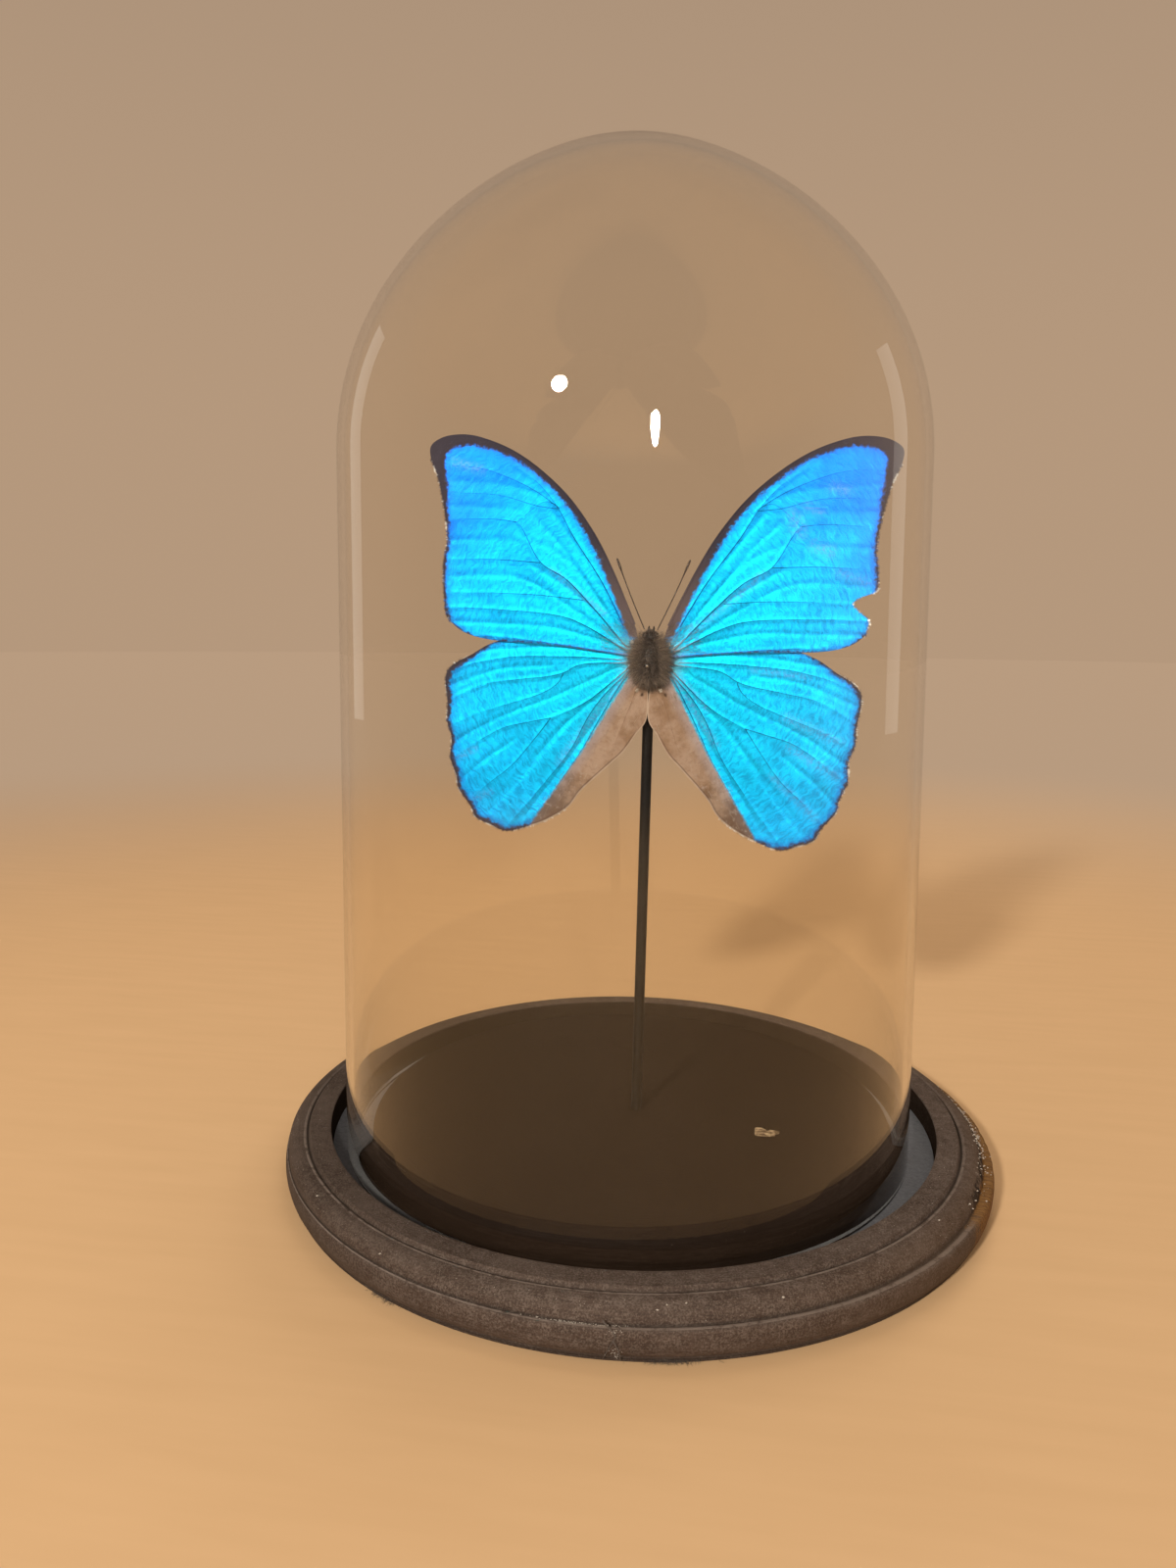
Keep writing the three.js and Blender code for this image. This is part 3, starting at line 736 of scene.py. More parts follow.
def make_body(hair):
    stock = Stock()
    for radii, centre in ((THORAX_RADII, THORAX_CENTRE), (HEAD_RADII, HEAD_CENTRE)):
        stock.add_own(*ball(radii, centre))
    for side in (-1, 1):
        stock.add_own(*ball((0.9, 1.05, 1.05), (side * 1.65, -0.7, 6.6)), kind=1)
        line = smooth_line([(side * 0.6, -1.3, 6.9), (side * 0.75, -0.4, 8.2), (side * 0.7, 0.5, 9.3)], 8)
        stock.add_own(*tube(line, np.linspace(0.42, 0.2, 9), 10))

    def grow(spots, ways, lengths, width, droop, tone):
        points, faces = hairs(spots, ways, lengths, width, droop)
        tone = np.repeat(tone + rng.normal(0, 0.09, len(spots)), HAIR_POINTS)
        stock.add_own(points, faces, marks={"tone": np.clip(tone, 0, 1)})

    # Dense coat, dark along the back and brown at the sides, combed towards the tail
    spots, out = skin_spots(THORAX_RADII, THORAX_CENTRE, 4300)
    ways = out * 0.6 + (0, 0, -0.30) + rng.normal(0, 0.36, out.shape)
    ways[:, 0] += np.sign(spots[:, 0]) * 0.15
    brown = np.clip((np.abs(spots[:, 0] - 0.1) - 2.4) / 1.4, 0, 1) ** 1.3
    tail = np.clip((-4.6 - spots[:, 2]) / 3.0, 0, 1)
    grow(spots, ways, rng.uniform(0.8, 2.6, len(spots)) * (1 - tail * 0.5), 0.13, (0, 0, -0.15),
         0.45 + 0.16 * np.maximum(brown, tail * 0.9))
    # Brown fringe down both sides, spreading over the roots of the wings
    many = 4600
    side = rng.choice((-1, 1), many)
    height = rng.triangular(-7.0, 1.5, 7.4, many)
    swell = np.sqrt(np.clip(1 - ((height + 0.8) / 8.1) ** 2, 0.05, 1))
    spots = np.column_stack((side * (3.5 * swell - rng.uniform(0.1, 1.2, many)),
                             rng.uniform(-3.0, 0.2, many) * swell, height))
    ways = np.column_stack((side * rng.uniform(0.4, 1.1, many), rng.normal(-0.10, 0.22, many),
                            (height + 0.6) * 0.07 - 0.06 + rng.normal(0, 0.36, many)))
    reach = rng.uniform(1.2, 6.4, many) * rng.uniform(0.5, 1.0, many)
    grow(spots, ways, reach, 0.10, (0, 0.12, -0.1), rng.choice(COAT_TONES, many) + 0.03 * reach)
    # Collar and head
    spots, out = skin_spots(HEAD_RADII, HEAD_CENTRE, 800)
    keep = np.abs(spots[:, 0]) < 1.4
    ways = out[keep] * 0.8 + (0, 0, 0.35) + rng.normal(0, 0.3, out[keep].shape)
    grow(spots[keep], ways, rng.uniform(0.6, 1.5, keep.sum()), 0.11, (0, 0, -0.1), 0.42)
    # Long soft hair behind, over the inner edges of the hindwings
    many = 1500
    spots = np.column_stack((rng.normal(0.1, 1.5, many), rng.uniform(-3.0, -0.4, many),
                             rng.triangular(-7.4, -6.0, -3.6, many)))
    ways = np.column_stack((spots[:, 0] * 0.16 + rng.normal(0, 0.22, many), rng.normal(0.04, 0.10, many),
                            -np.ones(many)))
    reach = rng.uniform(0.8, 4.6, many) * rng.uniform(0.25, 1.0, many)
    grow(spots, ways, reach, 0.10, (0, 0.22, 0), rng.choice(COAT_TONES, many) + 0.04 * reach)
    # Two pale tufts at the tail end and one at each shoulder
    for x, z, many in ((-3.2, -9.1, 46), (3.6, -9.0, 60), (-5.2, 5.0, 16), (5.6, 4.6, 18)):
        spots = rng.normal(0, 0.20, (many, 3)) + (x, -2.2, z)
        ways = rng.normal(0, 0.35, (many, 3)) + (0.15 * np.sign(x), -0.35, -0.7)
        grow(spots, ways, rng.uniform(0.4, 0.9, many), 0.12, (0, 0, 0), 0.95)
    stock.make("body", [hair, eye_finish()])


# ---- Wings ----
# Both are drawn for the side at +X: from the root along the front edge to the tip, down the outer margin
# and back to the root. border gives the width of the dark border at some of the edge's points. Veins have
# their thickness at the root end; pleats are shallow folds of the skin. Eyes are the rings of the underside.
FOREWING = {
    "root": (3, 1.5),
    "edge": [
        (4.5, 8.5), (12, 24.7), (19, 37), (28, 48), (40.5, 57.6), (52.5, 62.3), (61, 62.6), (66.5, 60.2),
        (67.2, 56.5), (64.7, 50), (62.7, 41), (61.8, 33), (62.7, 26), (62.7, 20), (61.9, 12), (59.8, 8.2),
        (55, 5.2), (47, 3.6), (36, 3.4), (26, 2.6), (15, 1.4), (6.5, 0.4),
    ],
    "depth": 0.0, "camber": 3.0, "reach": 70.0,
    "border": {0: 3.0, 1: 2.7, 2: 2.3, 3: 2.0, 4: 2.2, 5: 2.9, 6: 4.0, 7: 5.8, 8: 5.4, 9: 2.6, 10: 1.1,
               11: 0.8, 14: 0.8, 15: 0.7, 16: 0.4, 18: 0.2, 21: 0.1},
    "margin": (8, 15),
    "costa": 5,
    "veins": [
        (0.30, [(8.3, 9.3), (14.9, 21.3), (24, 34.5), (28.5, 42), (34.2, 48.8), (42, 54.6)]),
        (0.22, [(29, 43), (36, 47.5), (44, 51), (52.3, 53.4), (62.8, 54)]),
        (0.20, [(28.4, 42.4), (35.5, 43.2), (46.8, 45.9), (62.2, 46.2)]),
        (0.18, [(28.4, 42.6), (33.3, 44.2), (40.8, 38.4)]),
        (0.20, [(41, 38.3), (49, 39), (62, 38.4)]),
        (0.40, [(6.5, 2.8), (9, 5), (17.3, 14), (25.6, 22), (33.7, 27), (39, 36), (40.8, 38.4)]),
        (0.22, [(33.7, 26.8), (44.9, 27.3), (53, 27.2), (62.2, 26.8)]),
        (0.22, [(20.6, 16.3), (33, 17.3), (47, 17.5), (62, 17)]),
        (0.34, [(6.5, 2.2), (8.8, 3), (20.4, 9.2), (30, 11.8), (50, 12.8), (61.3, 12.8)]),
        (0.24, [(8.6, 0.9), (23, 2.6), (39, 4.2), (51, 5.0)]),
    ],
    "pleats": [
        [(9, 7), (16.5, 17), (27, 31), (35, 39)], [(8, 4.4), (16.5, 13), (27, 20.5), (36.9, 26.4)],
        [(12, 6), (24, 14), (40, 22.4), (60, 22.2)], [(12, 4), (30, 8.2), (48, 8.6), (59, 8.8)],
        [(41, 33), (50, 33), (61, 32.6)], [(33, 46), (45, 48.6), (62, 50)],
        [(40, 41.6), (52, 42.4), (62, 42.4)], [(14, 14), (26, 28), (38, 33.5)], [(20, 28), (31, 42)],
    ],
    "eyes": [(50.5, 50.3, 1.7), (52.0, 42.3, 2.9), (51.5, 32.9, 2.5), (51.0, 22.2, 3.4)],
}
HINDWING = {
    "root": (2.5, 0),
    "edge": [
        (8, 3.4), (22, 5.6), (38, 4.8), (47.5, 2.2), (54, -1.7), (59.8, -5.3), (61.6, -9.5), (60.8, -16),
        (60.7, -22), (59.2, -27), (59.4, -33), (57.4, -38.5), (56.6, -42.5), (52.8, -47.5), (51, -51),
        (46.5, -53), (41.3, -54.7), (35, -53), (29, -50.5), (22.5, -46), (18.6, -40.5), (10.7, -32.4),
        (6.6, -28.2), (3.1, -22.7), (0.15, -17.8), (0.15, -9),
    ],
    "depth": 1.0, "camber": 2.0, "reach": 62.0,
    "border": {0: 0.3, 2: 0.4, 3: 0.8, 4: 1.5, 5: 2.1, 6: 1.9, 8: 1.2, 10: 1.5, 12: 1.4, 14: 1.9, 16: 1.7,
               17: 1.3, 18: 0.7, 19: 0.3, 25: 0.2},
    "margin": (4, 19),
    "costa": 0,
    "veins": [
        (0.26, [(8.5, -0.9), (20.2, -0.7), (30, -1), (42, -1.8), (54, -4.5), (60.2, -7)]),
        (0.28, [(6, -1.0), (8, -1.7), (20, -2.8), (25.7, -5.6), (30.6, -7), (40.3, -8.5), (50.1, -10.5),
                (60.8, -16)]),
        (0.20, [(25.7, -5.6), (27.6, -9), (33, -12.5), (44, -16.5), (52.5, -19.5), (60, -23.5)]),
        (0.36, [(5.4, -2.4), (8, -4.7), (16, -12), (22, -16), (29, -19.3)]),
        (0.22, [(29, -19.3), (36, -21), (43, -23), (50, -27), (58.8, -33)]),
        (0.22, [(29, -19.3), (33, -25), (40, -34), (48, -41), (53.4, -46.2)]),
        (0.30, [(5.2, -3.0), (7.6, -5.5), (13.5, -12), (18, -19), (22.5, -28.5), (30, -39), (41.5, -53.6)]),
        (0.30, [(5.0, -3.4), (7.8, -6.9), (14.7, -19.6), (19.3, -28.7), (25.6, -38.9), (32.8, -49.5)]),
        (0.22, [(2.6, -6), (5.5, -15), (9, -25), (12.5, -32)]),
    ],
    "pleats": [
        [(10, -3.4), (22, -9.6), (30, -13.6), (45, -20.0), (58, -28)], [(12, 1.2), (30, 1.8), (50, 0)],
        [(30, -3.6), (45, -5.4), (60, -11)], [(24, -19.6), (34, -32), (46, -46)],
        [(17, -13.6), (26, -23), (37, -37.5), (47, -49)], [(12, -14), (19, -25), (27, -37), (36, -50)],
        [(40, -26.5), (50, -34), (56, -40)],
    ],
    "eyes": [(49.5, -6.6, 3.0), (47.5, -15.2, 2.4), (45, -29.2, 3.0), (38.6, -38.6, 3.2), (31, -44.6, 2.0)],
}
BLUE_ENDS = [(4, -2), (7.2, -7.7), (12.7, -17.5), (18.9, -28.5), (23.9, -36.4), (29.7, -45.1), (34.5, -53)]
# The torn part of the right forewing's margin, from the point of one tear to that of the next
TORN_EDGE = [(62.6, 26), (62.9, 21.3), (62.2, 20.7), (60.6, 20.4), (58.6, 19.6), (57.0, 18.5), (56.3, 17.4),
             (56.9, 16.3), (58.2, 15.2), (60.0, 13.9), (61.3, 12.9), (61.2, 11.6), (60.4, 9.6)]
TORN_FROM, TORN_TO = 12.05, 14.6

# Each wing: its name, shape, side, turn about the middle in degrees, size beside the common outline, width
# of its dark border beside the common one, and the stretches where its scales are rubbed, each with a width
WINGS = [
    ("forewing_left", FOREWING, -1, 0.2, 0.994, 1.0,
     [(1.0, (37.6, 54.8), (28.4, 48.0)), (0.9, (14, 12.5), (30, 24.5)), (1.2, (52, 53), (60, 55))]),
    ("forewing_right", FOREWING, 1, -0.16, 1.006, 0.9,
     [(1.9, (38.5, 41.5), (41.0, 36.8)), (1.7, (45.0, 33.2), (49.6, 31.4)), (1.3, (49.0, 49.4), (53.0, 48.0)),
      (1.0, (31.4, 50.4), (28.6, 47.6)), (1.2, (12, 8.4), (31, 24.6)), (1.3, (52, 26), (60, 23.4)),
      (1.1, (42, 44), (46, 42.5))]),
    ("hindwing_left", HINDWING, -1, 0.9, 1.0, 0.85,
     [(1.1, (47, -43), (53, -46)), (1.0, (52, -30), (57, -33)), (1.4, (8.6, -7.6), (25.5, -32.0))]),
    ("hindwing_right", HINDWING, 1, -0.5, 0.996, 0.62,
     [(1.6, (41, -15.6), (56, -21.4)), (1.4, (42, -24), (56, -31.6)), (1.2, (38, -33), (51, -44.4)),
      (0.9, (30, -2), (46, -3.4)), (1.3, (7.6, -5.6), (20.5, -24.5)), (0.8, (9.0, -5.0), (17.5, -14.0))]),
]
# Places on the margin with tufts of white scales
WHITE_TUFTS = {
    "hindwing_left": [(33.5, -51.3), (28.9, -52.8), (24.4, -50.1), (46.5, -53.0)],
    "hindwing_right": [(27.3, -49.1), (33.2, -52), (39.1, -55.2), (59.3, -5.7), (61, -18.3), (59.3, -30.5)],
    "forewing_left": [(65.6, 52.4), (62.2, 36.5)],
    "forewing_right": [(61.4, 11.9), (62.6, 20.9), (65.2, 51.8)],
}
WING_STEPS, WING_ROWS = 340, 66
WING_THICKNESS = 0.16
VEIN_SIDES = 6
VEIN_DIP, PLEAT_RISE, WAVE_RISE = 0.32, 0.11, 0.04
BLUE, BROWN, SOFT = 0, 1, 2  # finishes of a wing


def wing_edge(edge):
    """The line round the wing and, for each of its points, the place among the points of the edge."""
    return smooth_line(edge, WING_STEPS), np.linspace(0, len(edge) - 1, WING_STEPS + 1)


def torn_wing_edge(edge):
    """As wing_edge, with one stretch torn: straight pieces, each broken a little."""
    corners = np.array(TORN_EDGE)
    torn = follow(np.linspace(0, len(corners) - 1, 5 * len(corners)), np.arange(len(corners)), corners)
    torn[1:-1] += rng.normal(0, 0.07, torn[1:-1].shape)
    line, where = wing_edge(edge)
    before, after = where < TORN_FROM, where > TORN_TO
    line = np.concatenate((line[before], torn, line[after]))
    where = np.concatenate((where[before], np.linspace(TORN_FROM, TORN_TO, len(torn)), where[after]))
    # Points at even steps along the whole line
    walk = np.concatenate(([0], np.cumsum(np.hypot(*np.diff(line, axis=0).T))))
    even = np.linspace(0, walk[-1], WING_STEPS + 1)
    return follow(even, walk, line), np.interp(even, walk, where)


def inside(points, line):
    """Which flat points lie inside a closed line."""
    ends = np.roll(line, -1, axis=0)
    over = (line[None, :, 1] > points[:, None, 1]) != (ends[None, :, 1] > points[:, None, 1])
    rise = np.where(ends[:, 1] == line[:, 1], 1e-9, ends[:, 1] - line[:, 1])
    cross = line[:, 0] + (points[:, None, 1] - line[:, 1]) / rise * (ends[:, 0] - line[:, 0])
    return ((over & (points[:, None, 0] < cross)).sum(1) % 2).astype(bool)


def nearest_gap(points, others):
    return np.hypot(*(points[:, None] - np.asarray(others)).transpose(2, 0, 1)).min(1)


def past_blue(points):
    """How far flat points lie past the inner end of the blue."""
    distance, side = line_distance(points, BLUE_ENDS)
    return -distance * side


class Wing:
    """One wing's outline, its marks and the way from flat coordinates to its place."""

    def __init__(self, name, shape, side, turn, size, border, rubbed):
        self.name, self.shape, self.side, self.border, self.rubbed = name, shape, side, border, rubbed
        self.turn, self.size = math.radians(turn), size
        self.root = np.array(shape["root"], float)
        self.seed = 10.0 * (1 + [w[0] for w in WINGS].index(name))
        self.whole, self.whole_where = wing_edge(shape["edge"])
        self.line, self.where = self.whole, self.whole_where
        if name == "forewing_right":
            self.line, self.where = torn_wing_edge(shape["edge"])
        self.veins = []
        for thick, points in shape["veins"]:
            line = smooth_line(points, 8 * len(points))
            within = inside(line, self.line) & (line_distance(line, self.line)[0] > 0.12)
            within[:4] = True
            self.veins.append((thick, line[within]))
        self.pleats = [smooth_line(points, 12) for points in shape["pleats"]]
        self.waves = rng.uniform(-1, 1, (6, 3))

    def lift(self, flat):
        """How far the skin lies behind the plane of the wings: its camber, veins, pleats and slight waves."""
        shape = self.shape
        lift = shape["depth"] - shape["camber"] * (flat[:, 0] / shape["reach"]) ** 2
        for thick, line in self.veins:
            lift -= VEIN_DIP * thick * ridge(flat, line, 0.6)
        for line in self.pleats:
            lift += PLEAT_RISE * ridge(flat, line, 0.8)
        for a, b, c in self.waves:
            lift += WAVE_RISE * np.sin(flat[:, 0] * a * 0.4 + flat[:, 1] * b * 0.4 + 3 * c)
        return lift

    def put(self, flat, back=0.0):
        """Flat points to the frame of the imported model, back behind the skin by so much."""
        x, z = rotated(*(flat * self.size).T, self.turn)
        return in_place(np.stack((x * self.side, self.lift(flat) + back, z), 1))

    def marks(self, flat, pale=0.0, vein=0.0):
        """The numbers that the finishes read at flat points."""
        shape, count = self.shape, len(flat)
        gap, nearest = np.full(count, 1e9), np.zeros(count)
        for point, where in zip(self.whole[::2], self.whole_where[::2]):
            distance = np.hypot(*(flat - point).T)
            closer = distance < gap
            gap[closer] = distance[closer]
            nearest[closer] = where
        gap = line_distance(flat, self.whole)[0]
        width = self.border * np.interp(nearest, list(shape["border"]), list(shape["border"].values()))
        start, end = shape["margin"]
        outer = self.whole[(self.whole_where >= start) & (self.whole_where <= end)]
        eye = np.full(count, 9.0)
        for x, z, radius in shape["eyes"]:
            eye = np.minimum(eye, np.hypot(flat[:, 0] - x, flat[:, 1] - z) / radius)
        rub = np.zeros(count)
        for wide, *ends in self.rubbed:
            rub = np.maximum(rub, ridge(flat, ends, wide))
        return {
            "own": np.column_stack((flat, np.full(count, self.seed))),
            "border": width - gap,
            "margin": line_distance(flat, outer)[0],
            "fold": past_blue(flat) if shape is HINDWING else np.full(count, -9.0),
            "eye": eye,
            "rub": rub,
            "hem": gap,
            "pale": np.broadcast_to(pale, count),
            "vein": np.broadcast_to(vein, count),
        }

    def hairs(self, roots, tips, back, rise, width):
        """Hairs between flat points on the skin or a little off it, with their tips up by rise."""
        start, end = self.put(roots, back), self.put(tips, back)
        end[:, 1] = start[:, 1] + rise
        return hairs(start, end - start, np.linalg.norm(end - start, axis=1), width)


def add_skin(stock, wing):
    """The wing itself: a thin closed sheet, blue in front and brown behind."""
    share = 1 - (1 - np.arange(1, WING_ROWS + 1) / WING_ROWS) ** 1.25
    flat = wing.root + (wing.line[None] - wing.root) * share[:, None, None]
    flat = np.concatenate((wing.root[None], flat.reshape(-1, 2)))
    steps, count = WING_STEPS + 1, len(flat)
    front, rear = (wing.put(flat, side * WING_THICKNESS / 2) for side in (-1, 1))
    column = np.arange(WING_STEPS)
    fan = np.stack((np.zeros(WING_STEPS, int), column + 1, column + 2), 1)
    sheet = ring_grid(WING_ROWS, steps, loop=False) + 1
    # The hem joins both skins along the first and the last column and round the margin
    row_starts = np.arange(WING_ROWS) * steps
    sides = ([0, *(row_starts + 1)], [0, *(row_starts + steps)], row_starts[-1] + 1 + np.arange(steps))
    hem = np.concatenate([np.stack((line[:-1], line[1:], line[1:] + count, line[:-1] + count), 1)
                          for line in (np.array(s) for s in sides)])
    hem[:WING_ROWS] = hem[:WING_ROWS, ::-1]
    a, b, c = (front[sheet[:, i]] for i in range(3))
    if np.cross(b - a, c - a)[:, 1].sum() > 0:
        sheet, fan = sheet[:, ::-1], fan[:, ::-1]
    else:
        hem = hem[:, ::-1]
    faces = [sheet, fan, sheet[:, ::-1] + count, fan[:, ::-1] + count, hem]
    marks = {name: np.concatenate((values, values)) for name, values in wing.marks(flat).items()}
    stock.add(np.concatenate((front, rear)), faces, [BLUE, BLUE, BROWN, BROWN, BROWN], marks)


def add_vein(stock, wing, line, thick, thin):
    """A tapered vein through the skin: its front half is blue as the skin, its rear half brown."""
    centre = wing.put(line)
    points, faces = tube(centre, np.linspace(thick, thin, len(line)) * 0.8, VEIN_SIDES, 0.8)
    flat = np.concatenate((np.repeat(line, VEIN_SIDES, 0), line[:1], line[-1:]))
    middle = points[faces[0]].mean(1)[:, 1] - np.repeat((centre[:-1, 1] + centre[1:, 1]) / 2, VEIN_SIDES)
    stock.add(points, faces, [np.where(middle < 0, BLUE, BROWN), BROWN], wing.marks(flat, vein=1.0))


def add_fringe(stock, wing):
    """Short scales that stand out from the margin, white between the ends of the veins of a hindwing."""
    start, end = wing.shape["margin"]
    outer = np.flatnonzero((wing.where >= start) & (wing.where <= end))[1:-1]
    many = 620
    pick = rng.uniform(outer[0], outer[-1], many)
    index = pick.astype(int)
    part = (pick - index)[:, None]
    here, beyond = wing.line[index], wing.line[index + 1]
    roots = here * (1 - part) + beyond * part
    along = unit(beyond - here)
    away = np.stack((-along[:, 1], along[:, 0]), 1)
    away *= np.sign(((roots - wing.root) * away).sum(1))[:, None]
    roots = roots - away * 0.25
    reach = rng.uniform(0.45, 0.95, many)[:, None]
    tips = roots + (away + along * rng.normal(0, 0.3, (many, 1))) * reach
    chance = 0.30 if wing.shape is HINDWING else 0.12
    pale = nearest_gap(roots, [points[-1] for _, points in wing.shape["veins"]]) > 2.4
    pale &= rng.uniform(size=many) < chance
    pale |= nearest_gap(roots, WHITE_TUFTS[wing.name]) < 1.3
    points, faces = wing.hairs(roots, tips, 0.0, rng.normal(0, 0.06, many), 0.16 + 0.10 * pale)
    marks = wing.marks(np.repeat(roots, HAIR_POINTS, 0), pale=np.repeat(pale.astype(float), HAIR_POINTS))
    stock.add(points, faces, marks=marks)


def add_wing_hair(stock, wing):
    """Soft hair: along the root of every wing, and long and pale over the hindwing's inner fold."""
    if wing.shape is HINDWING:
        many, tone = 520, 0.74
        spots = np.stack((rng.uniform(0.6, 30, many), rng.uniform(-50, -8, many)), 1)
        edge_gap = line_distance(spots, wing.line)[0]
        spots = spots[(past_blue(spots) > -1.2) & inside(spots, wing.line) & (edge_gap > 0.4)]
        ways = np.array((0.42, -0.9)) + rng.normal(0, 0.2, (len(spots), 2))
        lengths = rng.uniform(1.0, 2.8, len(spots))
    else:
        many, tone = 420, 0.46
        spots = np.stack((4 + 10 * rng.uniform(0, 1, many) ** 1.6, rng.uniform(1.5, 9.5, many)), 1)
        spots = spots[inside(spots, wing.line)]
        ways = unit(spots) + rng.normal(0, 0.18, spots.shape)
        lengths = rng.uniform(0.8, 2.4, len(spots))
    rise = -rng.uniform(0.05, 0.5, len(spots))
    points, faces = wing.hairs(spots, spots + ways * lengths[:, None], -0.06, rise, 0.07)
    tone = np.repeat(rng.normal(tone, 0.08, len(spots)), HAIR_POINTS)
    stock.add(points, faces, SOFT, {"tone": np.clip(tone, 0, 1)})


def make_wings(hair):
    finishes = [blue_scales_finish(), brown_scales_finish(), hair]
    for row in WINGS:
        wing = Wing(*row)
        stock = Stock()
        add_skin(stock, wing)
        for thick, line in wing.veins:
            add_vein(stock, wing, line, thick, 0.11)
        if wing.shape["costa"]:
            inner = wing.line[(wing.where > 0.1) & (wing.where < wing.shape["costa"])]
            add_vein(stock, wing, (inner + (wing.root - inner) * 0.006)[::3], 0.5, 0.2)
        add_fringe(stock, wing)
        add_wing_hair(stock, wing)
        stock.make(wing.name, finishes, sharp=70)


def wing_places(finish):
    """Flat coordinates, height, distance from the body and a fine relief across the veins."""
    own = finish.mark("own", "Vector")
    x, z, seed = finish.split(own)
    radius = finish.maths("SQRT", x * x + z * z)
    angle = finish.maths("ARCTAN2", z, x)
    bend = finish.noise(own, 0.30)
    ripple = finish.noise(finish.join(radius * 1.3 + bend * 5.0, angle * 15.0, seed), 1.0, 3.0, 0.55)
    return own, z, radius, ripple


def blue_scales_finish():
    finish = Finish("blue_scales", 0.06)
    mask, noise, mark = finish.mask, finish.noise, finish.mark
    own, z, radius, ripple = wing_places(finish)
    scale_rows = noise(own, 3.2, 2.0, 0.7)
    patch = noise(own, 0.09) - 0.5
    blue = finish.ramp((radius + patch * 26.0 + mask(z, -30.0, 45.0) * 28.0 - 12.0) / 88.0,
                       (0.00, (0.0, 0.40, 0.54)), (0.20, (0.0, 0.46, 0.76)), (0.50, (0.0, 0.44, 0.84)),
                       (0.78, (0.0, 0.33, 0.80)), (1.00, (0.002, 0.17, 0.74)))
    ripple_shade_blue = finish.blend(0.62, blue, (0.0, 0.11, 0.36))
    rub = mark("rub") * mask(noise(own, 1.1, 4.0, 0.75), 0.40, 0.62)
    vein, hem = mark("vein"), mark("hem")
    ragged = (noise(own, 0.75, 5.0, 0.75) - 0.5) * 4.2
    border = mark("border") + ragged
    dark = mask(border, -0.30, 0.80)
    brown = finish.blend(scale_rows, (0.020, 0.017, 0.026), (0.072, 0.060, 0.084))
    brown = finish.blend(mask(radius, 40.0, 12.0) * 0.6, brown, (0.200, 0.140, 0.125))
    # The inner fold of the hindwing is bare of blue scales
    fold = mark("fold") + ragged * 0.4
    folded = mask(fold, -0.5, 0.6)
    mottled = noise(own, 0.16, 3.0, 0.6)
    fleck = mask(noise(own, 0.6, 4.0, 0.7), 0.54, 0.68) * mask(radius, 34.0, 42.0)
    tan = finish.layers(
        finish.blend(mask(mottled, 0.36, 0.66), (0.44, 0.290, 0.200), (0.31, 0.180, 0.105)),
        (mask(fold, 4.2, 0.2) * 0.6, (0.44, 0.37, 0.38)),
        (mask(radius + (mottled - 0.5) * 22.0, 40.0, 52.0) * 0.72, (0.095, 0.055, 0.038)),
        (fleck * 0.55, (0.46, 0.38, 0.33)),
        # painted shade in the troughs of the ripples
        (mask(ripple, 0.50, 0.34) * 0.22, (0.19, 0.10, 0.06)),
        (vein * 0.4, (0.20, 0.11, 0.07)),
        (finish.near(hem, 0.55, 0.28, 0.08) * mask(radius, 18.0, 26.0) * 0.6, (0.11, 0.06, 0.04)),
        (mask(hem, 0.42, 0.2) * 0.5, (0.62, 0.47, 0.35)),
    )
    # Rubbed scales show greyish violet; hardly any blue ones grow next to the body, and the dark border has
    # a violet bloom along its inner side
    bare = mask(radius + (scale_rows - 0.5) * 5.0 + patch * 6.0, 12.0, 5.0)
    colour = finish.layers(
        blue,
        # Painted shade in the troughs of the ripples and a painted highlight on their crests
        (mask(ripple + (scale_rows - 0.5) * 0.30, 0.60, 0.34) * 0.80, ripple_shade_blue),
        (mask(ripple, 0.60, 0.76) * 0.22, (0.02, 0.74, 1.0)),
        (rub * 0.55, (0.10, 0.20, 0.46)),
        (vein * 0.85, (0.0, 0.045, 0.12)),
        (vein * mask(radius, 15.0, 6.0) * 0.7, (0.34, 0.31, 0.30)),
        (mask(border, -2.0, 0.3) * 0.60, (0.006, 0.09, 0.46)),
        (bare * 0.62, (0.150, 0.150, 0.165)),
        (dark, brown),
        (folded, tan),
        (mark("pale"), (0.80, 0.76, 0.70)),
    )
    plain = 1 - (1 - dark) * (1 - folded)
    finish.paint("Metallic", (1 - plain) * 0.52)
    roughness = 0.42 + scale_rows * 0.12 + plain * 0.16
    return finish.cover(colour, roughness, ripple + scale_rows * 0.25, 0.55, 0.16)


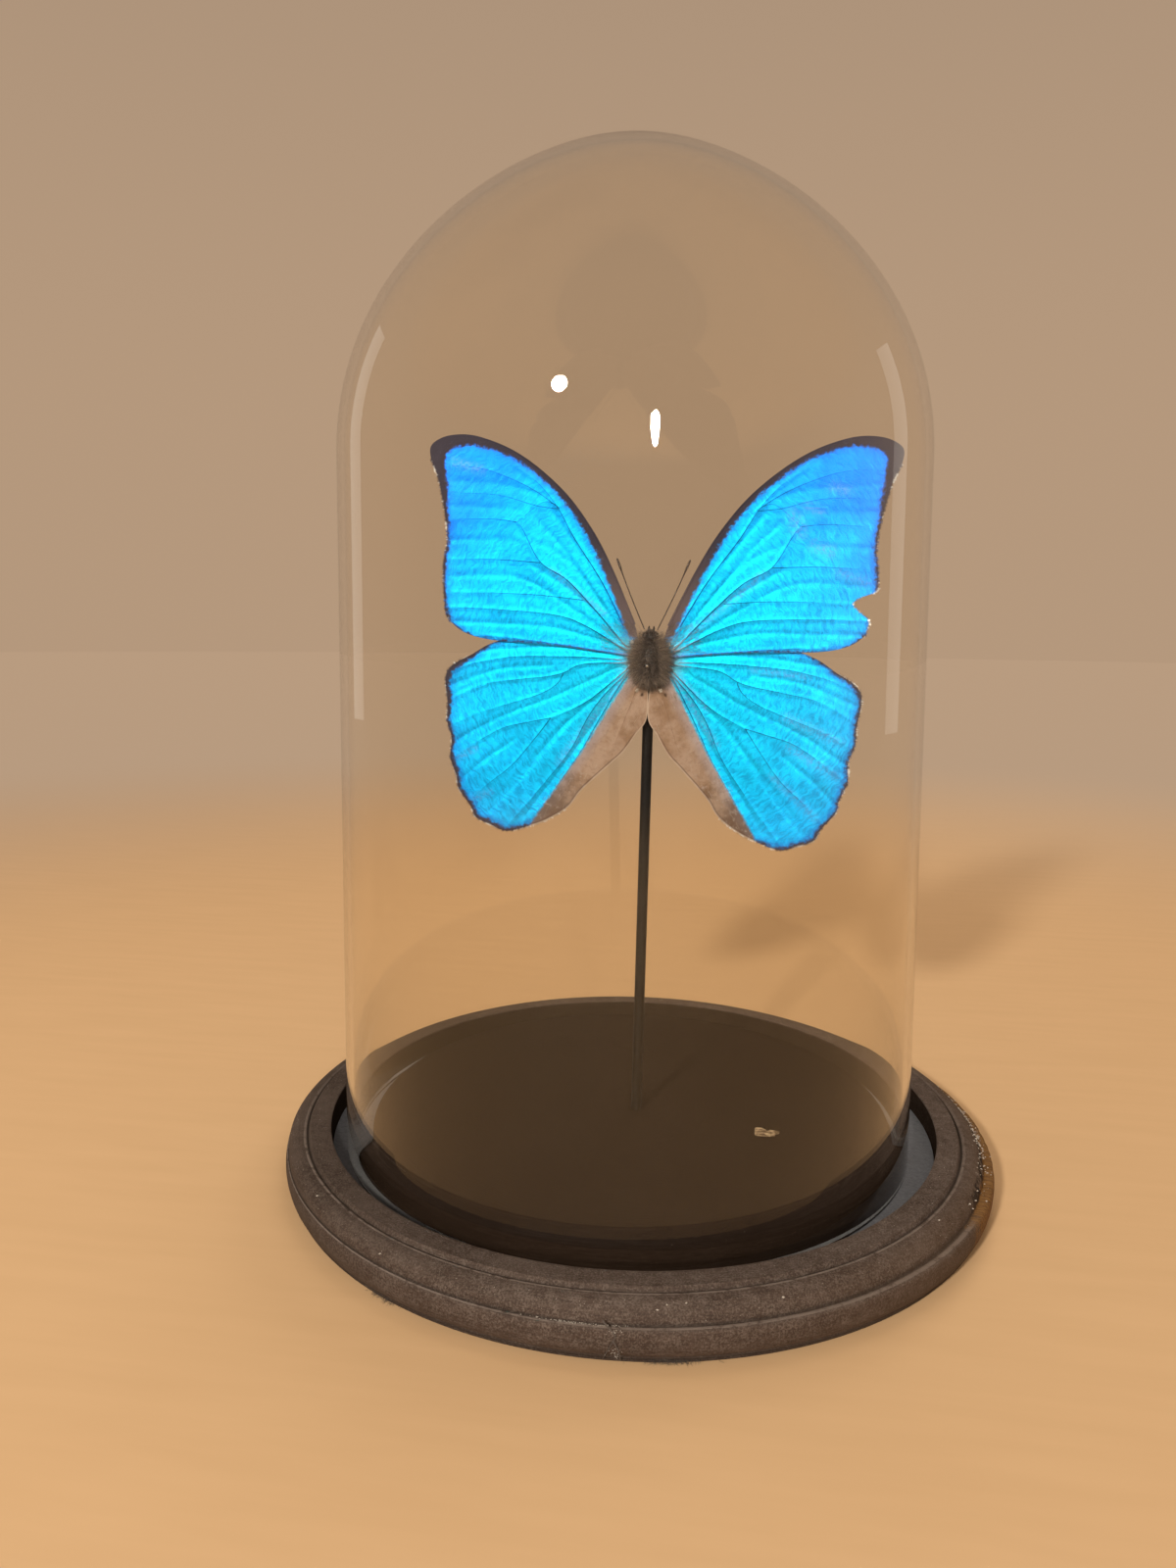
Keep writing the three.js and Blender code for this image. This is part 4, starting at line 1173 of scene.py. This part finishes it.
def brown_scales_finish():
    finish = Finish("brown_scales", 0.3)
    mask, near, noise, mark = finish.mask, finish.near, finish.noise, finish.mark
    own, _, radius, ripple = wing_places(finish)
    scale_rows = noise(own, 3.0, 2.0, 0.7)
    cloud = noise(own, 0.11, 3.0, 0.55)
    margin = mark("margin") + (noise(own, 0.35) - 0.5) * 1.2
    eye = mark("eye")
    rings = finish.ramp(eye * 0.8, (0.00, (0.70, 0.68, 0.62)), (0.10, (0.70, 0.68, 0.62)),
                        (0.14, (0.010, 0.008, 0.008)), (0.40, (0.012, 0.009, 0.008)),
                        (0.44, (0.58, 0.32, 0.075)), (0.56, (0.58, 0.34, 0.08)),
                        (0.60, (0.030, 0.018, 0.012)), (0.72, (0.035, 0.020, 0.013)),
                        (0.78, (0.50, 0.40, 0.29)))
    brown = finish.layers(
        finish.blend(mask(cloud, 0.35, 0.65), (0.160, 0.100, 0.064), (0.270, 0.176, 0.114)),
        (near(margin, 1.4, 0.5) * 0.85, (0.55, 0.44, 0.32)),
        (near(margin, 2.9, 0.75) * 0.7, (0.22, 0.075, 0.035)),
        (near(margin, 4.6, 0.6) * 0.8, (0.55, 0.45, 0.34)),
        (near(radius + (cloud - 0.5) * 16.0, 30.0, 3.2, 1.2) * 0.5, (0.42, 0.33, 0.25)),
        (mask(eye, 1.16, 1.06), rings),
        # painted shade in the troughs of the ripples
        (mask(ripple, 0.50, 0.34) * 0.35, (0.045, 0.027, 0.018)),
        (mark("vein") * 0.6, (0.24, 0.15, 0.085)),
        (mark("pale"), (0.70, 0.66, 0.58)),
    )
    finish.paint("Metallic", 0.1 + cloud * 0.1)
    return finish.cover(brown, 0.46 + scale_rows * 0.2, ripple + scale_rows * 0.3, 0.5, 0.16)


# ---- Antennae and legs ----
ANTENNA_ROOT, ANTENNA_TIP = np.array((1.9, -0.9, 8.4)), np.array((10.6, -1.8, 28.5))
ANTENNA_R, CLUB_R = 0.19, 0.34
SIDES = (("left", -1), ("right", 1))
LEGS = [
    ("mid", [(3.6, 3.1, 0.6), (5.3, 5.2, -0.6), (4.6, 6.6, 3.2), (3.9, 6.2, 7.4)]),
    ("hind", [(3.6, 3.0, -4.4), (5.8, 5.0, -6.4), (5.2, 6.4, -12.0), (4.2, 6.0, -17.2)]),
]
# Radii of a leg at shares of its length: the thigh is the thickest, and the shin thinner
LEG_SHARES = (0, 0.06, 0.3, 0.36, 0.4, 0.66, 0.7, 1)
LEG_RADII = (0.30, 0.42, 0.34, 0.2, 0.28, 0.2, 0.15, 0.10)


def chitin_finish():
    tones = (0.026, 0.014, 0.009), (0.085, 0.048, 0.028)
    finish = mottled_finish("chitin", 0.5, (0.9, 3.0), tones, 0.34, 0.2)
    finish.bump(finish.noise(finish.place(), 4.0), 0.3, 0.06)
    return finish


def make_antennae(finish):
    joints = 34
    share = np.linspace(0, 1, joints * 4 + 1)
    swell = 1 + 0.16 * np.sin(share * joints * 2 * math.pi)
    club = np.clip((share - 0.72) / 0.16, 0, 1) ** 2 * np.clip((1.02 - share) / 0.10, 0, 1) ** 0.5
    radii = (ANTENNA_R * 0.9 + (CLUB_R - ANTENNA_R * 0.9) * np.clip(club, 0, 1)) * swell
    radii[0] = radii[0] * 1.3
    radii[-1] = 0.08
    for hand, side in SIDES:
        path = (ANTENNA_ROOT + (ANTENNA_TIP - ANTENNA_ROOT) * share[:, None]) * (side, 1, 1)
        path[:, 0] += side * 0.22 * np.sin(share * math.pi)
        points, faces = tube(path, radii)
        make_piece(f"antenna_{hand}", finish, "chitin", (in_place(points), faces))


def make_legs(finish):
    """The shin is spined, and the foot is jointed and ends in a pair of claws."""
    for pair, joints in LEGS:
        for hand, side in SIDES:
            path = smooth_line(np.array(joints) * (side, 1, 1), 42)
            share = np.linspace(0, 1, len(path))
            radii = np.interp(share, LEG_SHARES, LEG_RADII) + 0.03 * (share > 0.7) * np.sin(share * 120)
            stock = Stock()
            stock.add_own(*tube(path, radii))
            picks = rng.integers(15, 40, 46)
            ways = unit(path[picks + 1] - path[picks])
            ways = ways + rng.normal(0, 0.7, ways.shape)
            stock.add_own(*hairs(path[picks], ways, rng.uniform(0.35, 0.8, len(picks)), 0.07))
            claw = unit(path[-1:] - path[-2:-1])
            for bend in (-0.5, 0.5):
                stock.add_own(*hairs(path[-1:], claw + (bend, 0.2, 0), 0.7, 0.12, (0, 0.5, 0)))
            stock.make(f"leg_{hand}_{pair}", [finish])


# ---- Flake of wood ----
FLAKE_EDGE = [(-3.5, -1.9), (-3.6, 0.4), (-3.5, 2.3), (-2.4, 2.3), (-0.9, 1.5), (0.3, 0.9), (1.6, 1.3),
              (2.9, 1.4), (3.8, 0.8), (3.7, 0.1), (2.9, -0.1), (2.4, -0.8), (2.6, -1.5), (0.6, -1.8),
              (-1.0, -2.3), (-2.6, -2.3)]


def bare_wood_finish():
    finish = Finish("bare_wood", 0.25)
    place = finish.place()
    x, y, z = finish.split(place)
    fibre = finish.noise(finish.join(x * 0.22, y * 1.7 + x * 0.30, z * 0.6), 1.0, 3.0, 0.6)
    wood = finish.blend(finish.mask(fibre, 0.42, 0.58), (0.085, 0.045, 0.018), (0.44, 0.31, 0.175))
    wood = finish.blend(finish.mask(finish.noise(place, 0.5), 0.52, 0.72) * 0.5, wood, (0.15, 0.09, 0.05))
    return finish.cover(wood, 0.66 + fibre * 0.2, fibre, 0.6, 0.2)


def make_flake():
    """A splinter with ribs along its grain and broken ends, curled up a little at one side."""
    corners = np.array(FLAKE_EDGE + FLAKE_EDGE[:1])
    many, rows = 96, 14
    edge = follow(np.linspace(0, len(FLAKE_EDGE), many + 1)[:-1], np.arange(len(corners)), corners)
    edge = edge + rng.normal(0, 0.05, edge.shape)
    share = np.linspace(1, 0.02, rows)
    flat = (edge[None] * share[:, None, None]).reshape(-1, 2)
    bowed = flat[:, 1] + 0.035 * (flat[:, 0] + 3.5) ** 2
    ribs = 0.26 * np.sin(bowed * 4.4) + 0.09 * np.sin(bowed * 12.0 + flat[:, 0])
    curl = 0.05 * np.clip(flat[:, 0] - 1, 0, 4) ** 2
    depth = np.repeat(np.clip((1 - share) * 6, 0.8, 1), many)
    top = np.column_stack((flat, (FLAKE_THICKNESS * 0.72 + ribs) * depth + curl))
    bottom = np.column_stack((flat[:many] * 0.97, curl[:many] * 0.8))
    x, y, z = np.concatenate((bottom, top)).T
    x, y = rotated(x, y, math.radians(FLAKE_TURN))
    points = np.column_stack((x + FLAKE_X, y + FLAKE_Y, z + FLAKE_Z - 0.2))
    caps = [np.arange(many)[None], (np.arange(many) + rows * many)[None, ::-1]]
    shell = points, [ring_grid(rows + 1, many)[:, ::-1], *caps]
    make_piece("wood_flake", bare_wood_finish(), "bare_wood", shell, sharp=50)


# ---- Studio ----
BLACK = (0.0, 0.0, 0.0)
WALL_TONE = (0.46, 0.315, 0.205)
DIM_TONE = (0.11, 0.075, 0.05)
CEILING_TONE = (0.34, 0.25, 0.18)
FLOOR_TONES = (0.60, 0.385, 0.200), (0.66, 0.430, 0.230)
FLOOR_SIDES = 96
LAMP_AIM = (0.0, 0.0, 0.15)
LAMPS = [  # place, width, height, power, tint, whether glass and metal mirror it
    ("key_lamp", (-0.45, -1.30, 0.72), 0.13, 0.13, 21.0, (1.0, 0.95, 0.87), True),
    ("fill_lamp", (0.36, -1.45, 0.50), 0.08, 0.08, 7.0, (1.0, 0.95, 0.88), True),
    ("crown_lamp", (0.15, 0.75, 1.50), 1.00, 0.90, 7.0, (1.0, 0.94, 0.86), False),
    ("left_lamp", (-1.50, 0.75, 0.45), 0.30, 1.20, 0.7, (1.0, 0.95, 0.88), True),
    ("right_lamp", (1.50, 0.80, 0.45), 0.30, 1.20, 0.9, (1.0, 0.95, 0.88), True),
    ("back_lamp", (0.50, 1.40, 0.80), 0.50, 0.50, 4.0, (1.0, 0.95, 0.88), False),
]


def area_lamp(name, place, width, height, power, tint, mirrored):
    data = bpy.data.lights.new(name, "AREA")
    data.shape = "ELLIPSE" if width == height else "RECTANGLE"
    data.size = width
    data.size_y = height
    data.energy = power
    data.color = tint
    lamp = add_object(name, data)
    lamp.location = place
    lamp.rotation_euler = (Vector(LAMP_AIM) - Vector(place)).to_track_quat("-Z", "Y").to_euler()
    lamp.visible_camera = False
    lamp.visible_transmission = False
    lamp.visible_glossy = mirrored


class Sky(Finish):
    """The world's light: nodes that feed the colour of its background."""

    def __init__(self):
        world = bpy.data.worlds.new("studio")
        world.use_nodes = True
        bpy.context.scene.world = world
        self.tree = world.node_tree
        self.shader = self.tree.nodes["Background"]


def room_tone(finish, toward_back):
    """The tone at the horizon: lit behind the object and dimmer in front of it."""
    return finish.blend(finish.mask(toward_back, -0.85, 0.25), DIM_TONE, WALL_TONE)


def floor_finish():
    finish = Finish("floor", 0.15, {"Emission Strength": 1.0})
    x, y, z = finish.split(finish.place())
    radius = finish.maths("SQRT", x * x + y * y)
    drift = finish.noise(finish.join(x * 0.02, y * 0.15, z), 1.0, 3.0)
    far = finish.mask(radius, 300.0, 1100.0)
    finish.paint("Emission Color", finish.blend(far, BLACK, room_tone(finish, y / radius)))
    return finish.cover(finish.blend(far, finish.blend(drift, *FLOOR_TONES), BLACK), 0.8 + drift * 0.1)


def set_studio():
    for lamp in LAMPS:
        area_lamp(*lamp)
    sky = Sky()
    x, y, z = sky.split(sky.node("TexCoord", None, None, "Generated"))
    sky.paint("Color", sky.blend(sky.mask(z, 0.15, 0.95), room_tone(sky, y), CEILING_TONE))

    mesh = bpy.data.meshes.new("floor")
    points, faces = turned([(radius, 0.0) for radius in (6000.0, 1500.0, 500.0, 100.0)], FLOOR_SIDES)
    middle = list(range(3 * FLOOR_SIDES, 4 * FLOOR_SIDES))
    mesh.from_pydata((points * MM).tolist(), [], [*faces.tolist(), middle])
    mesh.materials.append(floor_finish().material)
    add_object("floor", mesh)

    scene = bpy.context.scene
    scene.view_settings.view_transform = "Standard"
    scene.cycles.caustics_refractive = False
    scene.cycles.caustics_reflective = False


set_camera()
set_studio()
hair = hair_finish()
chitin = chitin_finish()
make_base()
make_felt_ring()
make_glass_dome()
make_rod()
make_pin()
make_body(hair)
make_wings(hair)
make_antennae(chitin)
make_legs(chitin)
make_flake()
